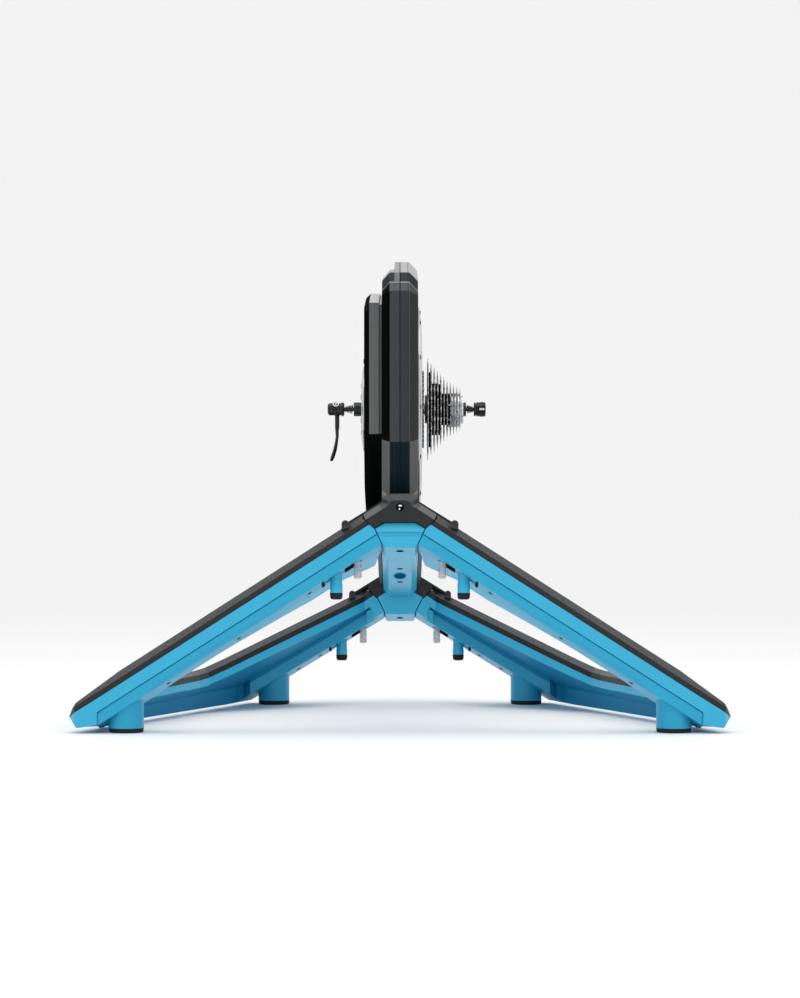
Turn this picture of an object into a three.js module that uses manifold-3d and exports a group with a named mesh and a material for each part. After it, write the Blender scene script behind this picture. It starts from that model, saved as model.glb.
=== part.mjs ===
// Folding direct drive bike trainer, seen from behind: +X to its drive side, +Y ahead, +Z up, millimetres.
// The origin is the middle of its footprint, on the ground.
import * as THREE from 'three';
import { mergeVertices } from 'three/addons/utils/BufferGeometryUtils.js';
import Module from 'manifold-3d';

const wasm = await Module();
wasm.setup();

// Overall sizes
const trainerLength = 575;
const trainerHeight = 550;
const trainerWidth = 750;

// Clearances shared by every piece
const seatGap = 0.3;
const runGap = 0.5;
const overrun = 12;

// Facets round a full turn
const fineTurn = 36;
const mediumTurn = 24;
const smallTurn = 16;

const trainer = new THREE.Group();
const finishes = {
  bodyBlack: new THREE.MeshStandardMaterial({ color: 0x3e3f42, roughness: 0.5, metalness: 0.1 }),
  coverBlack: new THREE.MeshStandardMaterial({ color: 0x2b2c2e, roughness: 0.4, metalness: 0.1 }),
  bumpGrey: new THREE.MeshStandardMaterial({ color: 0x5f6462, roughness: 0.5, metalness: 0.2 }),
  wingBlue: new THREE.MeshStandardMaterial({ color: 0x4db0de, roughness: 0.45, metalness: 0.2 }),
  railBlue: new THREE.MeshStandardMaterial({ color: 0x3aa5d0, roughness: 0.5, metalness: 0.2 }),
  steel: new THREE.MeshStandardMaterial({ color: 0xb9bcc0, roughness: 0.3, metalness: 0.9 }),
  darkSteel: new THREE.MeshStandardMaterial({ color: 0x2a2a2c, roughness: 0.45, metalness: 0.7 }),
  alloy: new THREE.MeshStandardMaterial({ color: 0xc8cacb, roughness: 0.35, metalness: 0.8 }),
  copper: new THREE.MeshStandardMaterial({ color: 0xb4683a, roughness: 0.4, metalness: 0.8 }),
  rubber: new THREE.MeshStandardMaterial({ color: 0x242424, roughness: 0.9, metalness: 0 }),
  clearWhite: new THREE.MeshStandardMaterial({ color: 0xe6eef2, roughness: 0.3, metalness: 0 }),
};
for (const finish of Object.values(finishes)) {
  finish.flatShading = true;
}

// Closed mesh with shared points, no flat triangles, faces pointing out
function closed(geometry) {
  const bare = geometry.clone();
  bare.deleteAttribute('normal');
  bare.deleteAttribute('uv');
  const merged = mergeVertices(bare);
  const corners = merged.index.array;
  const place = merged.getAttribute('position');
  const kept = [];
  let volume = 0;
  const a = new THREE.Vector3();
  const b = new THREE.Vector3();
  const c = new THREE.Vector3();
  for (let i = 0; i < corners.length; i += 3) {
    const [p, q, r] = [corners[i], corners[i + 1], corners[i + 2]];
    if (p === q || q === r || r === p) {
      continue;
    }
    a.fromBufferAttribute(place, p);
    b.fromBufferAttribute(place, q);
    c.fromBufferAttribute(place, r);
    volume += a.dot(b.cross(c));
    kept.push(p, q, r);
  }
  if (volume < 0) {
    for (let i = 0; i < kept.length; i += 3) {
      [kept[i + 1], kept[i + 2]] = [kept[i + 2], kept[i + 1]];
    }
  }
  merged.setIndex(kept);
  return merged;
}

function toSolid(geometry) {
  const shape = closed(geometry);
  const mesh = new wasm.Mesh({
    numProp: 3,
    vertProperties: new Float32Array(shape.getAttribute('position').array),
    triVerts: new Uint32Array(shape.index.array),
  });
  return new wasm.Manifold(mesh);
}

function toGeometry(solid) {
  const mesh = solid.getMesh();
  const geometry = new THREE.BufferGeometry();
  geometry.setAttribute('position', new THREE.BufferAttribute(new Float32Array(mesh.vertProperties), 3));
  geometry.setIndex(Array.from(mesh.triVerts));
  return geometry;
}

function join(...shapes) {
  return toGeometry(shapes.map(toSolid).reduce((all, next) => all.add(next)));
}

function cut(shape, ...tools) {
  return toGeometry(tools.map(toSolid).reduce((left, tool) => left.subtract(tool), toSolid(shape)));
}

function addPiece(name, geometry, finish) {
  const piece = new THREE.Mesh(closed(geometry), finish);
  piece.name = name;
  trainer.add(piece);
  return piece;
}

// Outline with its points anticlockwise
function anticlockwise(outline) {
  return THREE.ShapeUtils.area(outline.map(([a, b]) => new THREE.Vector2(a, b))) < 0
    ? [...outline].reverse()
    : outline;
}

// Outline moved inwards by a distance, or outwards by a negative one
function inset(outline, distance) {
  const count = outline.length;
  return outline.map((point, i) => {
    const before = outline[(i + count - 1) % count];
    const after = outline[(i + 1) % count];
    const one = new THREE.Vector2(point[0] - before[0], point[1] - before[1]).normalize();
    const two = new THREE.Vector2(after[0] - point[0], after[1] - point[1]).normalize();
    const across = new THREE.Vector2(-one.y - two.y, one.x + two.x);
    const reach = distance / (1 + one.dot(two));
    return [point[0] + across.x * reach, point[1] + across.y * reach];
  });
}

// Corner points of an outline eased into short arcs
function eased(outline, radius, steps = 3) {
  const count = outline.length;
  return outline.flatMap((point, i) => {
    const corner = new THREE.Vector2(...point);
    const back = new THREE.Vector2(...outline[(i + count - 1) % count]).sub(corner);
    const on = new THREE.Vector2(...outline[(i + 1) % count]).sub(corner);
    const reach = Math.min(radius, back.length() / 3, on.length() / 3);
    const start = corner.clone().addScaledVector(back.normalize(), reach);
    const end = corner.clone().addScaledVector(on.normalize(), reach);
    const arc = new THREE.QuadraticBezierCurve(start, corner, end);
    return arc.getPoints(steps).map((spot) => [spot.x, spot.y]);
  });
}

// Closed solid through a stack of rings, each ring a list of points in space, with flat shapes for its ends
function loft(rings, firstFlat, lastFlat) {
  const count = rings[0].length;
  const points = rings.flat().flatMap((point) => [point.x, point.y, point.z]);
  const faces = [];
  for (let level = 0; level + 1 < rings.length; level += 1) {
    for (let i = 0; i < count; i += 1) {
      const next = (i + 1) % count;
      const low = level * count;
      const high = low + count;
      faces.push(low + i, low + next, high + next, low + i, high + next, high + i);
    }
  }
  const flat = (outline) => outline.map(([a, b]) => new THREE.Vector2(a, b));
  for (const [p, q, r] of THREE.ShapeUtils.triangulateShape(flat(firstFlat), [])) {
    faces.push(p, r, q);
  }
  const top = (rings.length - 1) * count;
  for (const [p, q, r] of THREE.ShapeUtils.triangulateShape(flat(lastFlat), [])) {
    faces.push(top + p, top + q, top + r);
  }
  const geometry = new THREE.BufferGeometry();
  geometry.setAttribute('position', new THREE.Float32BufferAttribute(points, 3));
  geometry.setIndex(faces);
  return geometry;
}

// Outline carried through levels [inset, level] and put in space by place(a, b, level)
function stack(outline, levels, place) {
  const base = anticlockwise(outline);
  const flats = levels.map(([distance]) => inset(base, distance));
  const rings = flats.map((ring, i) => ring.map(([a, b]) => place(a, b, levels[i][1])));
  return loft(rings, flats[0], flats[flats.length - 1]);
}

function circle(radius, a, b, sides) {
  return Array.from({ length: sides }, (_, i) => {
    const angle = (i / sides) * Math.PI * 2;
    return [a + radius * Math.cos(angle), b + radius * Math.sin(angle)];
  });
}


// Ring or disc turned about the axle's line, from a closed profile of [place along X, radius]
function turned(profile, sides = fineTurn) {
  const points = [...profile, profile[0]].map(([along, radius]) => new THREE.Vector2(radius, along));
  const shape = new THREE.LatheGeometry(points, sides);
  shape.rotateZ(-Math.PI / 2);
  shape.translate(0, axleY, axleZ);
  return shape;
}

const ringProfile = (from, to, inner, outer) => [[from, inner], [to, inner], [to, outer], [from, outer]];

function box(from, to) {
  const shape = new THREE.BoxGeometry(to[0] - from[0], to[1] - from[1], to[2] - from[2]);
  shape.translate((from[0] + to[0]) / 2, (from[1] + to[1]) / 2, (from[2] + to[2]) / 2);
  return shape;
}

// Upright cylinder between two heights
function post(x, y, low, high, radius, sides = smallTurn) {
  const shape = new THREE.CylinderGeometry(radius, radius, high - low, sides);
  shape.rotateX(Math.PI / 2);
  shape.translate(x, y, (low + high) / 2);
  return shape;
}

// Axle line, between the bike's dropouts
const axleSetback = 135;
const axleZ = 369;
const axleY = axleSetback - trainerLength / 2;

// The two wings and the hubs share one sloping datum: it falls ahead and falls to both sides
const datumHeight = 175.05;
const pitch = 0.183;
const wingFall = 231.75;
const wingDrop = wingFall / (trainerWidth / 2);
const datum = (y) => datumHeight - pitch * y;
const wingUnder = (x, y) => datum(y) - wingDrop * Math.abs(x);
const datumView = (x, rise, y) => new THREE.Vector3(x, y, datum(y) + rise);

// Wing layers, as upright heights above the wing's underside
const railHeight = 14.6;
const coverBase = 30.6;
const wingHeight = 47;
const wingChamfer = 8;
const wingChamferRise = 9.6;

// Spine beam between the hubs
const hubOuter = trainerLength / 2;
const hubLength = 62.5;
const hubInner = hubOuter - hubLength;
const beamRearSink = 3.2;
const beamFrontRise = 6.1;
const beamRearUnder = datum(-hubInner) - beamRearSink;
const beamFrontUnder = datum(hubInner) + beamFrontRise;
const beamFlat = 14.5;
const beamHalf = 21;
const beamChamfer = 9;
const beamHeight = 40;
const beamUnder = (y) => beamRearUnder + (beamFrontUnder - beamRearUnder) * (y + hubInner) / (2 * hubInner);
const beamView = (x, rise, y) => new THREE.Vector3(x, y, beamUnder(y) + rise);

// Hub sections, above the datum: blue below, black cap over it
const hubWaist = 17.8;
const hubFlare = 28.4;
const hubDrop = -16.5;
const hubFlareRise = 5;
const hubTopRise = 11.7;
const capShoulder = 34.8;
const capShoulderRise = 10.7;
const capEdge = 41;
const capEdgeHeight = 5.16;
const capRoofHalf = 11;
const capRoofRise = 45;

// Hinge line of each wing, just above the arm's top
const hingeX = 61.2;
const barrelRadius = 4.2;
const barrelProud = 1;
const leafThickness = 3;
const hingeRise = wingHeight - wingDrop * hingeX + barrelProud;
const leafRise = (x) => wingHeight + runGap - wingDrop * x;
const capEdgeRise = leafRise(capEdge) - capEdgeHeight;

const bladeHalf = 20.5;
const hubSection = [
  [-hubWaist, hubDrop], [hubWaist, hubDrop], [hubFlare, hubFlareRise],
  [hubWaist, hubTopRise], [-hubWaist, hubTopRise], [-hubFlare, hubFlareRise],
];
const capSide = [
  [hubFlare + seatGap, hubFlareRise + seatGap], [capShoulder, capShoulderRise], [capEdge, capEdgeRise],
  [capEdge, leafRise(capEdge) - seatGap], [bladeHalf, leafRise(bladeHalf) - seatGap],
  [bladeHalf, capRoofRise - barrelRadius], [capRoofHalf, capRoofRise],
];
const capSection = [
  [hubWaist, hubTopRise + seatGap],
  ...capSide,
  ...capSide.map(([x, rise]) => [-x, rise]).reverse(),
  [-hubWaist, hubTopRise + seatGap],
];

function addFrame() {
  const beamSection = [
    [-beamFlat, 0], [beamFlat, 0], [beamHalf, beamChamfer],
    [beamHalf, beamHeight], [-beamHalf, beamHeight], [-beamHalf, beamChamfer],
  ];
  const beamLap = 1;
  const beam = stack(beamSection, [[0, -hubInner - beamLap], [0, hubInner + beamLap]], beamView);
  const rearHub = stack(hubSection, [[0, -hubOuter], [0, -hubInner]], datumView);
  const frontHub = stack(hubSection, [[0, hubInner], [0, hubOuter]], datumView);
  // Carrying slot through the beam, near its middle
  const slotHalfWidth = 7.5;
  const slotHalfLength = 27;
  const slotY = 30;
  const slotCorner = 6;
  const slot = stack(
    eased([
      [-slotHalfWidth, slotY - slotHalfLength], [slotHalfWidth, slotY - slotHalfLength],
      [slotHalfWidth, slotY + slotHalfLength], [-slotHalfWidth, slotY + slotHalfLength],
    ], slotCorner),
    [[0, -overrun], [0, beamHeight / 2]],
    (x, y, rise) => beamView(x, rise, y),
  );
  addPiece('spine_frame', cut(join(beam, rearHub, frontHub), slot), finishes.wingBlue);

  const capInner = hubInner + beamLap + seatGap;
  const rearCap = stack(capSection, [[0, -hubOuter], [0, -capInner]], datumView);
  const frontCap = stack(capSection, [[0, capInner], [0, hubOuter]], datumView);
  // Power socket in the rear cap
  const inletRise = 28.35;
  const inletZ = datum(-hubOuter) + inletRise;
  const inletRadius = 4.2;
  const inletDepth = 9;
  const inletBore = 3.1;
  const socket = (radius, from, to) => {
    const shape = new THREE.CylinderGeometry(radius, radius, to - from, smallTurn);
    shape.translate(0, (from + to) / 2, inletZ);
    return shape;
  };
  const face = -hubOuter;
  addPiece(
    'rear_hub_cap',
    cut(rearCap, socket(inletRadius + seatGap, face - overrun, face + inletDepth + seatGap)),
    finishes.coverBlack,
  );
  addPiece('front_hub_cap', frontCap, finishes.coverBlack);
  addPiece(
    'power_inlet',
    cut(
      socket(inletRadius, face, face + inletDepth),
      socket(inletBore, face - overrun, face + inletDepth - inletBore),
    ),
    finishes.darkSteel,
  );
}

// Body blade: outline in side view, as shares of the trainer's length and height
const bodyOutlineShares = [
  [-0.5, 0.905], [-0.48, 0.9227], [-0.4113, 0.93], [-0.4078, 0.949],
  [-0.034, 1], [0.0148, 0.991], [0.1017, 0.8545], [0.0583, 0.6],
];
const bodyHeel = 62.5;
const bodyFoot = 45;
const bodyFootShare = 0.1278;
const bodyLipShare = -0.4374;

// The left half is lower than the right along its top, beside a narrow upright fin at the middle
const loweredShares = [
  ...bodyOutlineShares.slice(0, 4),
  [-0.034, 0.984], [0.0148, 0.975],
  ...bodyOutlineShares.slice(6),
];
const finWidth = 6.6;
const bodyToe = 22;
const bodyChamfer = 6.5;
const shellWall = 2.7;
const rimWall = 3.5;
const driveHole = 30;
const motorHole = 57;

// Motor cover bump on the left, in side view about the axle
const motorFace = 40.5;
const motorWall = 2.5;
const motorChamfer = 4.5;
const motorReach = [118, 206];
const motorRise = [117, 141];
const motorDrop = [31, 96];
const motorBevel = 9;

function bodyOutline(shares) {
  const lipY = bodyLipShare * trainerLength;
  const capTop = (y) => datum(y) + capRoofRise + seatGap;
  const beamTop = (y) => beamUnder(y) + beamHeight + seatGap;
  const frontEnd = hubInner - seatGap;
  const rearEnd = -hubInner + bodyToe;
  const points = shares.map(([y, z]) => [y * trainerLength, z * trainerHeight]);
  const footY = bodyFootShare * trainerLength;
  return [
    [-hubOuter, capTop(lipY) + bodyHeel],
    ...points,
    [footY, beamTop(footY) + bodyFoot],
    [frontEnd, beamTop(frontEnd) + bodyToe],
    [frontEnd, beamTop(frontEnd)],
    [rearEnd, beamTop(rearEnd)],
    [-hubInner - runGap, capTop(-hubInner - runGap)],
    [lipY, capTop(lipY)],
  ];
}

// Lower edge of each shell, wrapped round the beam's sides
const skirtHalf = 26.6;
const skirtDrop = 14;
const skirtRise = 40;
const skirtShoulder = 48;

function addShells() {
  const full = bodyOutline(bodyOutlineShares);
  for (const [side, name, hole, outline] of [
    [-1, 'body_shell_left', motorHole, bodyOutline(loweredShares)],
    [1, 'body_shell_right', driveHole, full],
  ]) {
    const hollow = inset(anticlockwise(outline), rimWall);
    const place = (y, z, x) => new THREE.Vector3(side * x, y, z);
    const half = stack(
      outline,
      [[0, seatGap / 2], [0, bladeHalf - bodyChamfer], [bodyChamfer, bladeHalf]],
      place,
    );
    const blank = join(half, stack(full, [[0, seatGap / 2], [0, finWidth]], place));
    const pan = stack(hollow, [[0, -overrun], [0, bladeHalf - bodyChamfer], [bodyChamfer, bladeHalf - shellWall]], place);
    const bore = stack(circle(hole, axleY, axleZ, fineTurn), [[0, 0], [0, bladeHalf + overrun]], place);
    const inner = beamHalf + seatGap;
    const skirtSection = [
      [inner, skirtDrop], [skirtHalf, skirtDrop], [skirtHalf, skirtRise], [bladeHalf, skirtShoulder],
      [beamFlat, skirtShoulder], [beamFlat, beamHeight + seatGap], [inner, beamHeight + seatGap],
    ].map(([x, rise]) => [side * x, rise]);
    const skirtEnd = hubInner - beamChamfer;
    const skirt = stack(skirtSection, [[0, -skirtEnd], [0, skirtEnd]], beamView);
    addPiece(name, join(cut(blank, pan, bore), skirt), finishes.bodyBlack);
  }
}

function addSideCovers() {
  const [rear, front] = motorReach.map((reach, i) => axleY + (i ? reach : -reach));
  const [rearTop, frontTop] = motorRise.map((rise) => axleZ + rise);
  const [rearFoot, frontFoot] = motorDrop.map((drop) => axleZ - drop);
  const slant = frontFoot - (rearFoot - frontFoot) / 2;
  const outline = [
    [rear, rearFoot], [rear, rearTop - motorBevel], [rear + motorBevel, rearTop],
    [(axleY + front) / 2, frontTop], [front, (axleZ + frontTop) / 2], [front, frontFoot],
    [(axleY + front) / 2, slant], [(rear + axleY) / 2, frontFoot], [rear + motorBevel / 2, rearFoot - motorBevel],
  ];
  const seat = bladeHalf + seatGap;
  const place = (y, z, x) => new THREE.Vector3(-x, y, z);
  const blank = stack(outline, [[0, seat], [0, motorFace - motorChamfer], [motorChamfer, motorFace]], place);
  const pan = stack(
    inset(anticlockwise(outline), motorWall),
    [[0, 0], [0, motorFace - motorChamfer], [motorChamfer, motorFace - motorWall]],
    place,
  );
  const hole = stack(
    circle(axleRadius + runGap, axleY, axleZ, mediumTurn), [[0, 0], [0, motorFace + overrun]], place,
  );
  addPiece('motor_cover', cut(blank, pan, hole), finishes.bumpGrey);

  const coverRadius = 118;
  const coverRim = 22.4;
  const coverMid = 24.6;
  addPiece('drive_side_cover', turned([
    [seat, coverHole], [coverMid, coverHole], [driveFace, coverRadius / 2],
    [coverMid, coverRadius * 0.85], [coverRim, coverRadius], [seat, coverRadius],
  ], fineTurn), finishes.alloy);
}

// Fixed axle, carried by the motor cover, with a cap at each end where the bike's dropouts sit
const axleRadius = 6.5;
const rodBore = 3.2;
const leftFace = -53.5;
const rightFace = 76.5;
const capRadius = 8.15;
const capWall = 1.8;
const flangeRadius = 49;
const flangeEdge = 46;
const flangeInner = -motorFace - seatGap;
const flangeOuter = -44;
const rightCapInner = 64.3;

// Rotor on its two bearings
const hubBore = 13.1;
const hubRadius = 17;
const coverHole = 18.5;
const driveFace = 25.2;
const rotorLeft = -36;
const discInner = 26;
const discOuter = 27.3;
const discRadius = 44;
const webFrom = 9;
const rimRadius = 112;
const rimInner = 106.3;
const rimLeft = -16;
const rimRight = 14;
const bearingWidth = 8;
const bearingInset = 2;

function addAxle() {
  const axleLeft = leftFace + capWall + seatGap;
  const axleRight = rightFace - capWall - seatGap;
  addPiece('axle', turned([
    [axleLeft, rodBore], [axleRight, rodBore], [axleRight, axleRadius], [flangeInner, axleRadius],
    [flangeInner, flangeRadius], [(flangeInner + flangeOuter) / 2, flangeRadius],
    [flangeOuter, flangeEdge - axleRadius], [flangeOuter, axleRadius], [axleLeft, axleRadius],
  ], mediumTurn), finishes.alloy);
  const sleeve = axleRadius + seatGap;
  addPiece('end_cap_left', turned([
    [leftFace, rodBore], [leftFace + capWall, rodBore], [leftFace + capWall, sleeve],
    [flangeOuter - seatGap, sleeve], [flangeOuter - seatGap, capRadius], [leftFace, capRadius],
  ], mediumTurn), finishes.darkSteel);
  addPiece('end_cap_right', turned([
    [rightCapInner, sleeve], [rightFace - capWall, sleeve], [rightFace - capWall, rodBore],
    [rightFace, rodBore], [rightFace, capRadius], [rightCapInner, capRadius],
  ], mediumTurn), finishes.darkSteel);
}

function addRotor() {
  addPiece('rotor', turned([
    [rotorLeft, hubBore], [discOuter, hubBore], [discOuter, discRadius], [discInner, discRadius],
    [discInner, hubRadius], [rimRight, hubRadius], [rimRight, rimRadius], [rimLeft, rimRadius],
    [rimLeft, rimInner], [webFrom, rimInner], [webFrom, hubRadius], [rotorLeft, hubRadius],
  ]), finishes.darkSteel);
  const magnetInner = 100;
  const magnetOuter = rimInner - seatGap;
  addPiece(
    'magnet_ring',
    turned(ringProfile(rimLeft + runGap, webFrom - runGap, magnetInner, magnetOuter)),
    finishes.steel,
  );
  const race = ringProfile(0, bearingWidth, axleRadius + seatGap, hubBore - seatGap);
  for (const [name, from] of [
    ['bearing_left', rotorLeft + bearingInset], ['bearing_right', discOuter - bearingInset - bearingWidth],
  ]) {
    addPiece(name, turned(race.map(([along, radius]) => [from + along, radius]), mediumTurn), finishes.steel);
  }
  // Wound teeth of the stator, round a ring seated on the left shell
  const teeth = 18;
  const statorInner = 60;
  const statorRoot = 72;
  const statorTip = magnetInner - 3 * runGap;
  const statorFrom = -bladeHalf + shellWall + seatGap;
  const statorTo = webFrom - bearingInset;
  const windings = gearOutline(teeth, statorRoot, statorTip, 0.6, 0.7);
  addPiece('stator', axialPlate(windings, statorInner, statorFrom, statorTo, fineTurn), finishes.copper);
}

// Toothed outline about the origin: each tooth takes rootShare of its pitch at the root and tipShare at the tip
function gearOutline(teeth, rootRadius, tipRadius, rootShare, tipShare) {
  const pitchAngle = (Math.PI * 2) / teeth;
  const spot = (radius, angle) => [radius * Math.cos(angle), radius * Math.sin(angle)];
  return Array.from({ length: teeth }, (_, i) => i * pitchAngle).flatMap((middle) => [
    spot(rootRadius, middle - (pitchAngle * rootShare) / 2),
    spot(tipRadius, middle - (pitchAngle * tipShare) / 2),
    spot(tipRadius, middle + (pitchAngle * tipShare) / 2),
    spot(rootRadius, middle + (pitchAngle * rootShare) / 2),
  ]);
}

// Flat plate across the axle line, with a round bore
function axialPlate(outline, boreRadius, from, to, boreSides) {
  const shape = new THREE.Shape(outline.map(([a, b]) => new THREE.Vector2(a, b)));
  const bore = new THREE.Path(circle(boreRadius, 0, 0, boreSides).map(([a, b]) => new THREE.Vector2(a, b)));
  shape.holes.push(bore);
  const plate = new THREE.ExtrudeGeometry(shape, { depth: to - from, bevelEnabled: false });
  plate.rotateY(Math.PI / 2);
  plate.translate(from, axleY, axleZ);
  return plate;
}

// Freehub and the eleven sprockets, largest inboard
const sprocketTeeth = [28, 25, 23, 21, 19, 17, 15, 14, 13, 12, 11];
const firstSprocket = 32.2;
const sprocketPitch = 3.74;
const sprocketThickness = 1.7;
const chainPitch = 12.7;
const toothHeight = 2.6;
const toothDepth = 3.7;
const freehubFrom = 28.8;
const freehubRadius = 16.5;
const sprocketBore = 16.8;
const lockringWidth = 2.4;

function addCassette() {
  const lastSprocket = firstSprocket + sprocketPitch * (sprocketTeeth.length - 1);
  const cassetteEnd = lastSprocket + sprocketThickness / 2;
  const capPocket = capRadius + runGap;
  const freehubEnd = cassetteEnd;
  addPiece('freehub_body', turned([
    [freehubFrom, axleRadius + runGap], [rightCapInner - seatGap, axleRadius + runGap],
    [rightCapInner - seatGap, capPocket], [freehubEnd, capPocket],
    [freehubEnd, freehubRadius], [freehubFrom, freehubRadius],
  ], mediumTurn), finishes.darkSteel);

  const sprocket = (index) => {
    const teeth = sprocketTeeth[index];
    const pitchRadius = chainPitch / (2 * Math.sin(Math.PI / teeth));
    const middle = firstSprocket + sprocketPitch * index;
    const half = sprocketThickness / 2;
    const outline = gearOutline(teeth, pitchRadius - toothDepth, pitchRadius + toothHeight, 0.62, 0.2);
    return axialPlate(outline, sprocketBore, middle - half, middle + half, smallTurn);
  };
  // Ring that spaces one sprocket from the next, lapped into both where it carries them
  const spacer = (index, outer, lapped) => {
    const lap = lapped ? sprocketThickness / 4 : 0;
    const from = firstSprocket + sprocketPitch * index + sprocketThickness / 4;
    const to = firstSprocket + sprocketPitch * (index + 1) - sprocketThickness / 2;
    const outline = circle(outer, 0, 0, mediumTurn);
    return axialPlate(outline, sprocketBore, from, lapped ? to + lap : to - seatGap, smallTurn);
  };
  const largeCarrier = 44;
  const middleCarrier = 29.5;
  const looseSpacer = 19.5;
  addPiece(
    'sprockets_28_25',
    join(sprocket(0), spacer(0, largeCarrier, true), sprocket(1), spacer(1, looseSpacer, false)),
    finishes.steel,
  );
  addPiece(
    'sprockets_23_19',
    join(
      sprocket(2), spacer(2, middleCarrier, true), sprocket(3), spacer(3, middleCarrier, true), sprocket(4),
      spacer(4, looseSpacer, false),
    ),
    finishes.steel,
  );
  const lastIndex = sprocketTeeth.length - 1;
  for (let index = 5; index <= lastIndex; index += 1) {
    const plate = index < lastIndex ? join(sprocket(index), spacer(index, looseSpacer, false)) : sprocket(index);
    addPiece(`sprocket_${sprocketTeeth[index]}`, plate, finishes.steel);
  }
  const lockringFrom = cassetteEnd + seatGap;
  const notches = gearOutline(smallTurn, freehubRadius - runGap, freehubRadius, 0.6, 0.5);
  addPiece(
    'cassette_lockring',
    axialPlate(notches, capPocket, lockringFrom, lockringFrom + lockringWidth, smallTurn),
    finishes.alloy,
  );
}

// Quick release skewer through the hollow axle
const rodRadius = 2.5;
const barrelLeft = -83.8;
const barrelRight = -64.5;
const barrelOuter = 8.2;
const barrelFloor = 3;
const forkHalf = 4.3;
const pivotX = -75.5;
const pivotRadius = 2;
const pivotHeadRadius = 3.4;
const pivotHead = 1.2;
const leverHead = 5.4;
const nutFrom = 85.4;
const nutTo = 99.3;
const nutRadius = 8.4;

function addSkewer() {
  const rodLeft = barrelRight - barrelFloor + seatGap;
  const rodRight = nutTo - nutRadius / 2;
  const tightBore = rodRadius + seatGap;
  addPiece('skewer_rod', turned([[rodLeft, 0], [rodRight, 0], [rodRight, rodRadius], [rodLeft, rodRadius]],
    smallTurn), finishes.steel);

  // Forked barrel: the lever's head turns between its cheeks
  const edge = barrelOuter / 5;
  const drum = turned([
    [barrelLeft, 0], [barrelRight, 0], [barrelRight, barrelOuter - edge], [barrelRight - edge, barrelOuter],
    [barrelLeft + edge, barrelOuter], [barrelLeft, barrelOuter - edge],
  ], mediumTurn);
  const floor = barrelRight - barrelFloor;
  const slot = box(
    [barrelLeft - overrun, axleY - forkHalf, axleZ - barrelOuter - overrun],
    [floor - seatGap, axleY + forkHalf, axleZ + barrelOuter + overrun],
  );
  const rodHole = turned([
    [floor - overrun, 0], [barrelRight + overrun, 0], [barrelRight + overrun, tightBore], [floor - overrun, tightBore],
  ], smallTurn);
  const pivot = (radius, from, to) => {
    const pin = new THREE.CylinderGeometry(radius, radius, to - from, smallTurn);
    pin.translate(pivotX, axleY + (from + to) / 2, axleZ);
    return pin;
  };
  const reach = barrelOuter + overrun;
  const bodies = cut(drum, slot, rodHole, pivot(pivotRadius + seatGap, -reach, reach));
  addPiece('skewer_barrel', bodies, finishes.alloy);

  // Lever: round head with its pivot pin, then an arm that thins and bows outward to a rounded tip
  const headHalf = forkHalf - seatGap;
  const pinReach = barrelOuter + seatGap;
  const leverLength = 60;
  const stationShares = [
    [0.04, 0, 0.05, 0.066], [0.2, 0.03, 0.05, 0.066], [0.34, 0.03, 0.035, 0.1], [0.6, -0.02, 0.027, 0.13],
    [0.82, -0.055, 0.025, 0.135], [0.95, -0.085, 0.022, 0.11], [1, -0.1, 0.01, 0.06],
  ];
  const corners = [[-1, -0.6], [-0.6, -1], [0.6, -1], [1, -0.6], [1, 0.6], [0.6, 1], [-0.6, 1], [-1, 0.6]];
  const rings = stationShares.map(([down, out, thick, wide]) => corners.map(([a, b]) => new THREE.Vector3(
    pivotX + leverLength * (out + a * thick),
    axleY + leverLength * b * wide * (down < stationShares[2][0] ? headHalf / (leverLength * wide) : 1),
    axleZ - leverLength * down,
  )));
  const lever = join(
    pivot(leverHead, -headHalf, headHalf),
    pivot(pivotRadius, -pinReach, pinReach),
    pivot(pivotHeadRadius, -pinReach - pivotHead, -pinReach),
    pivot(pivotHeadRadius, pinReach, pinReach + pivotHead),
    loft(rings, corners, corners),
  );
  addPiece('skewer_lever', lever, finishes.coverBlack);

  const lip = nutRadius / 4;
  addPiece('skewer_nut', turned([
    [nutFrom, tightBore], [nutTo - nutRadius / 2 + seatGap, tightBore], [nutTo - nutRadius / 2 + seatGap, 0],
    [nutTo, 0], [nutTo, nutRadius * 0.45], [nutTo - lip, nutRadius * 0.78], [nutTo - 2 * lip, nutRadius * 0.92],
    [nutFrom + 1.5 * lip, nutRadius], [nutFrom + lip, nutRadius], [nutFrom + lip / 2, nutRadius - lip / 2],
    [nutFrom, nutRadius - lip / 2],
  ], mediumTurn), finishes.coverBlack);

  addPiece('spring_left', coilSpring('spring_left', leftFace - seatGap, barrelRight + seatGap), finishes.steel);
  addPiece('spring_right', coilSpring('spring_right', rightFace + seatGap, nutFrom - seatGap), finishes.steel);
}

// Conical spring round the rod: wide at the axle, narrow at the outer end, its wire's ends straight
const springCurls = 4;
const springSteps = 8;
const springSides = 5;
const springWire = 0.5;
const springWide = 7.2;
const springNarrow = 4;

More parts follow.
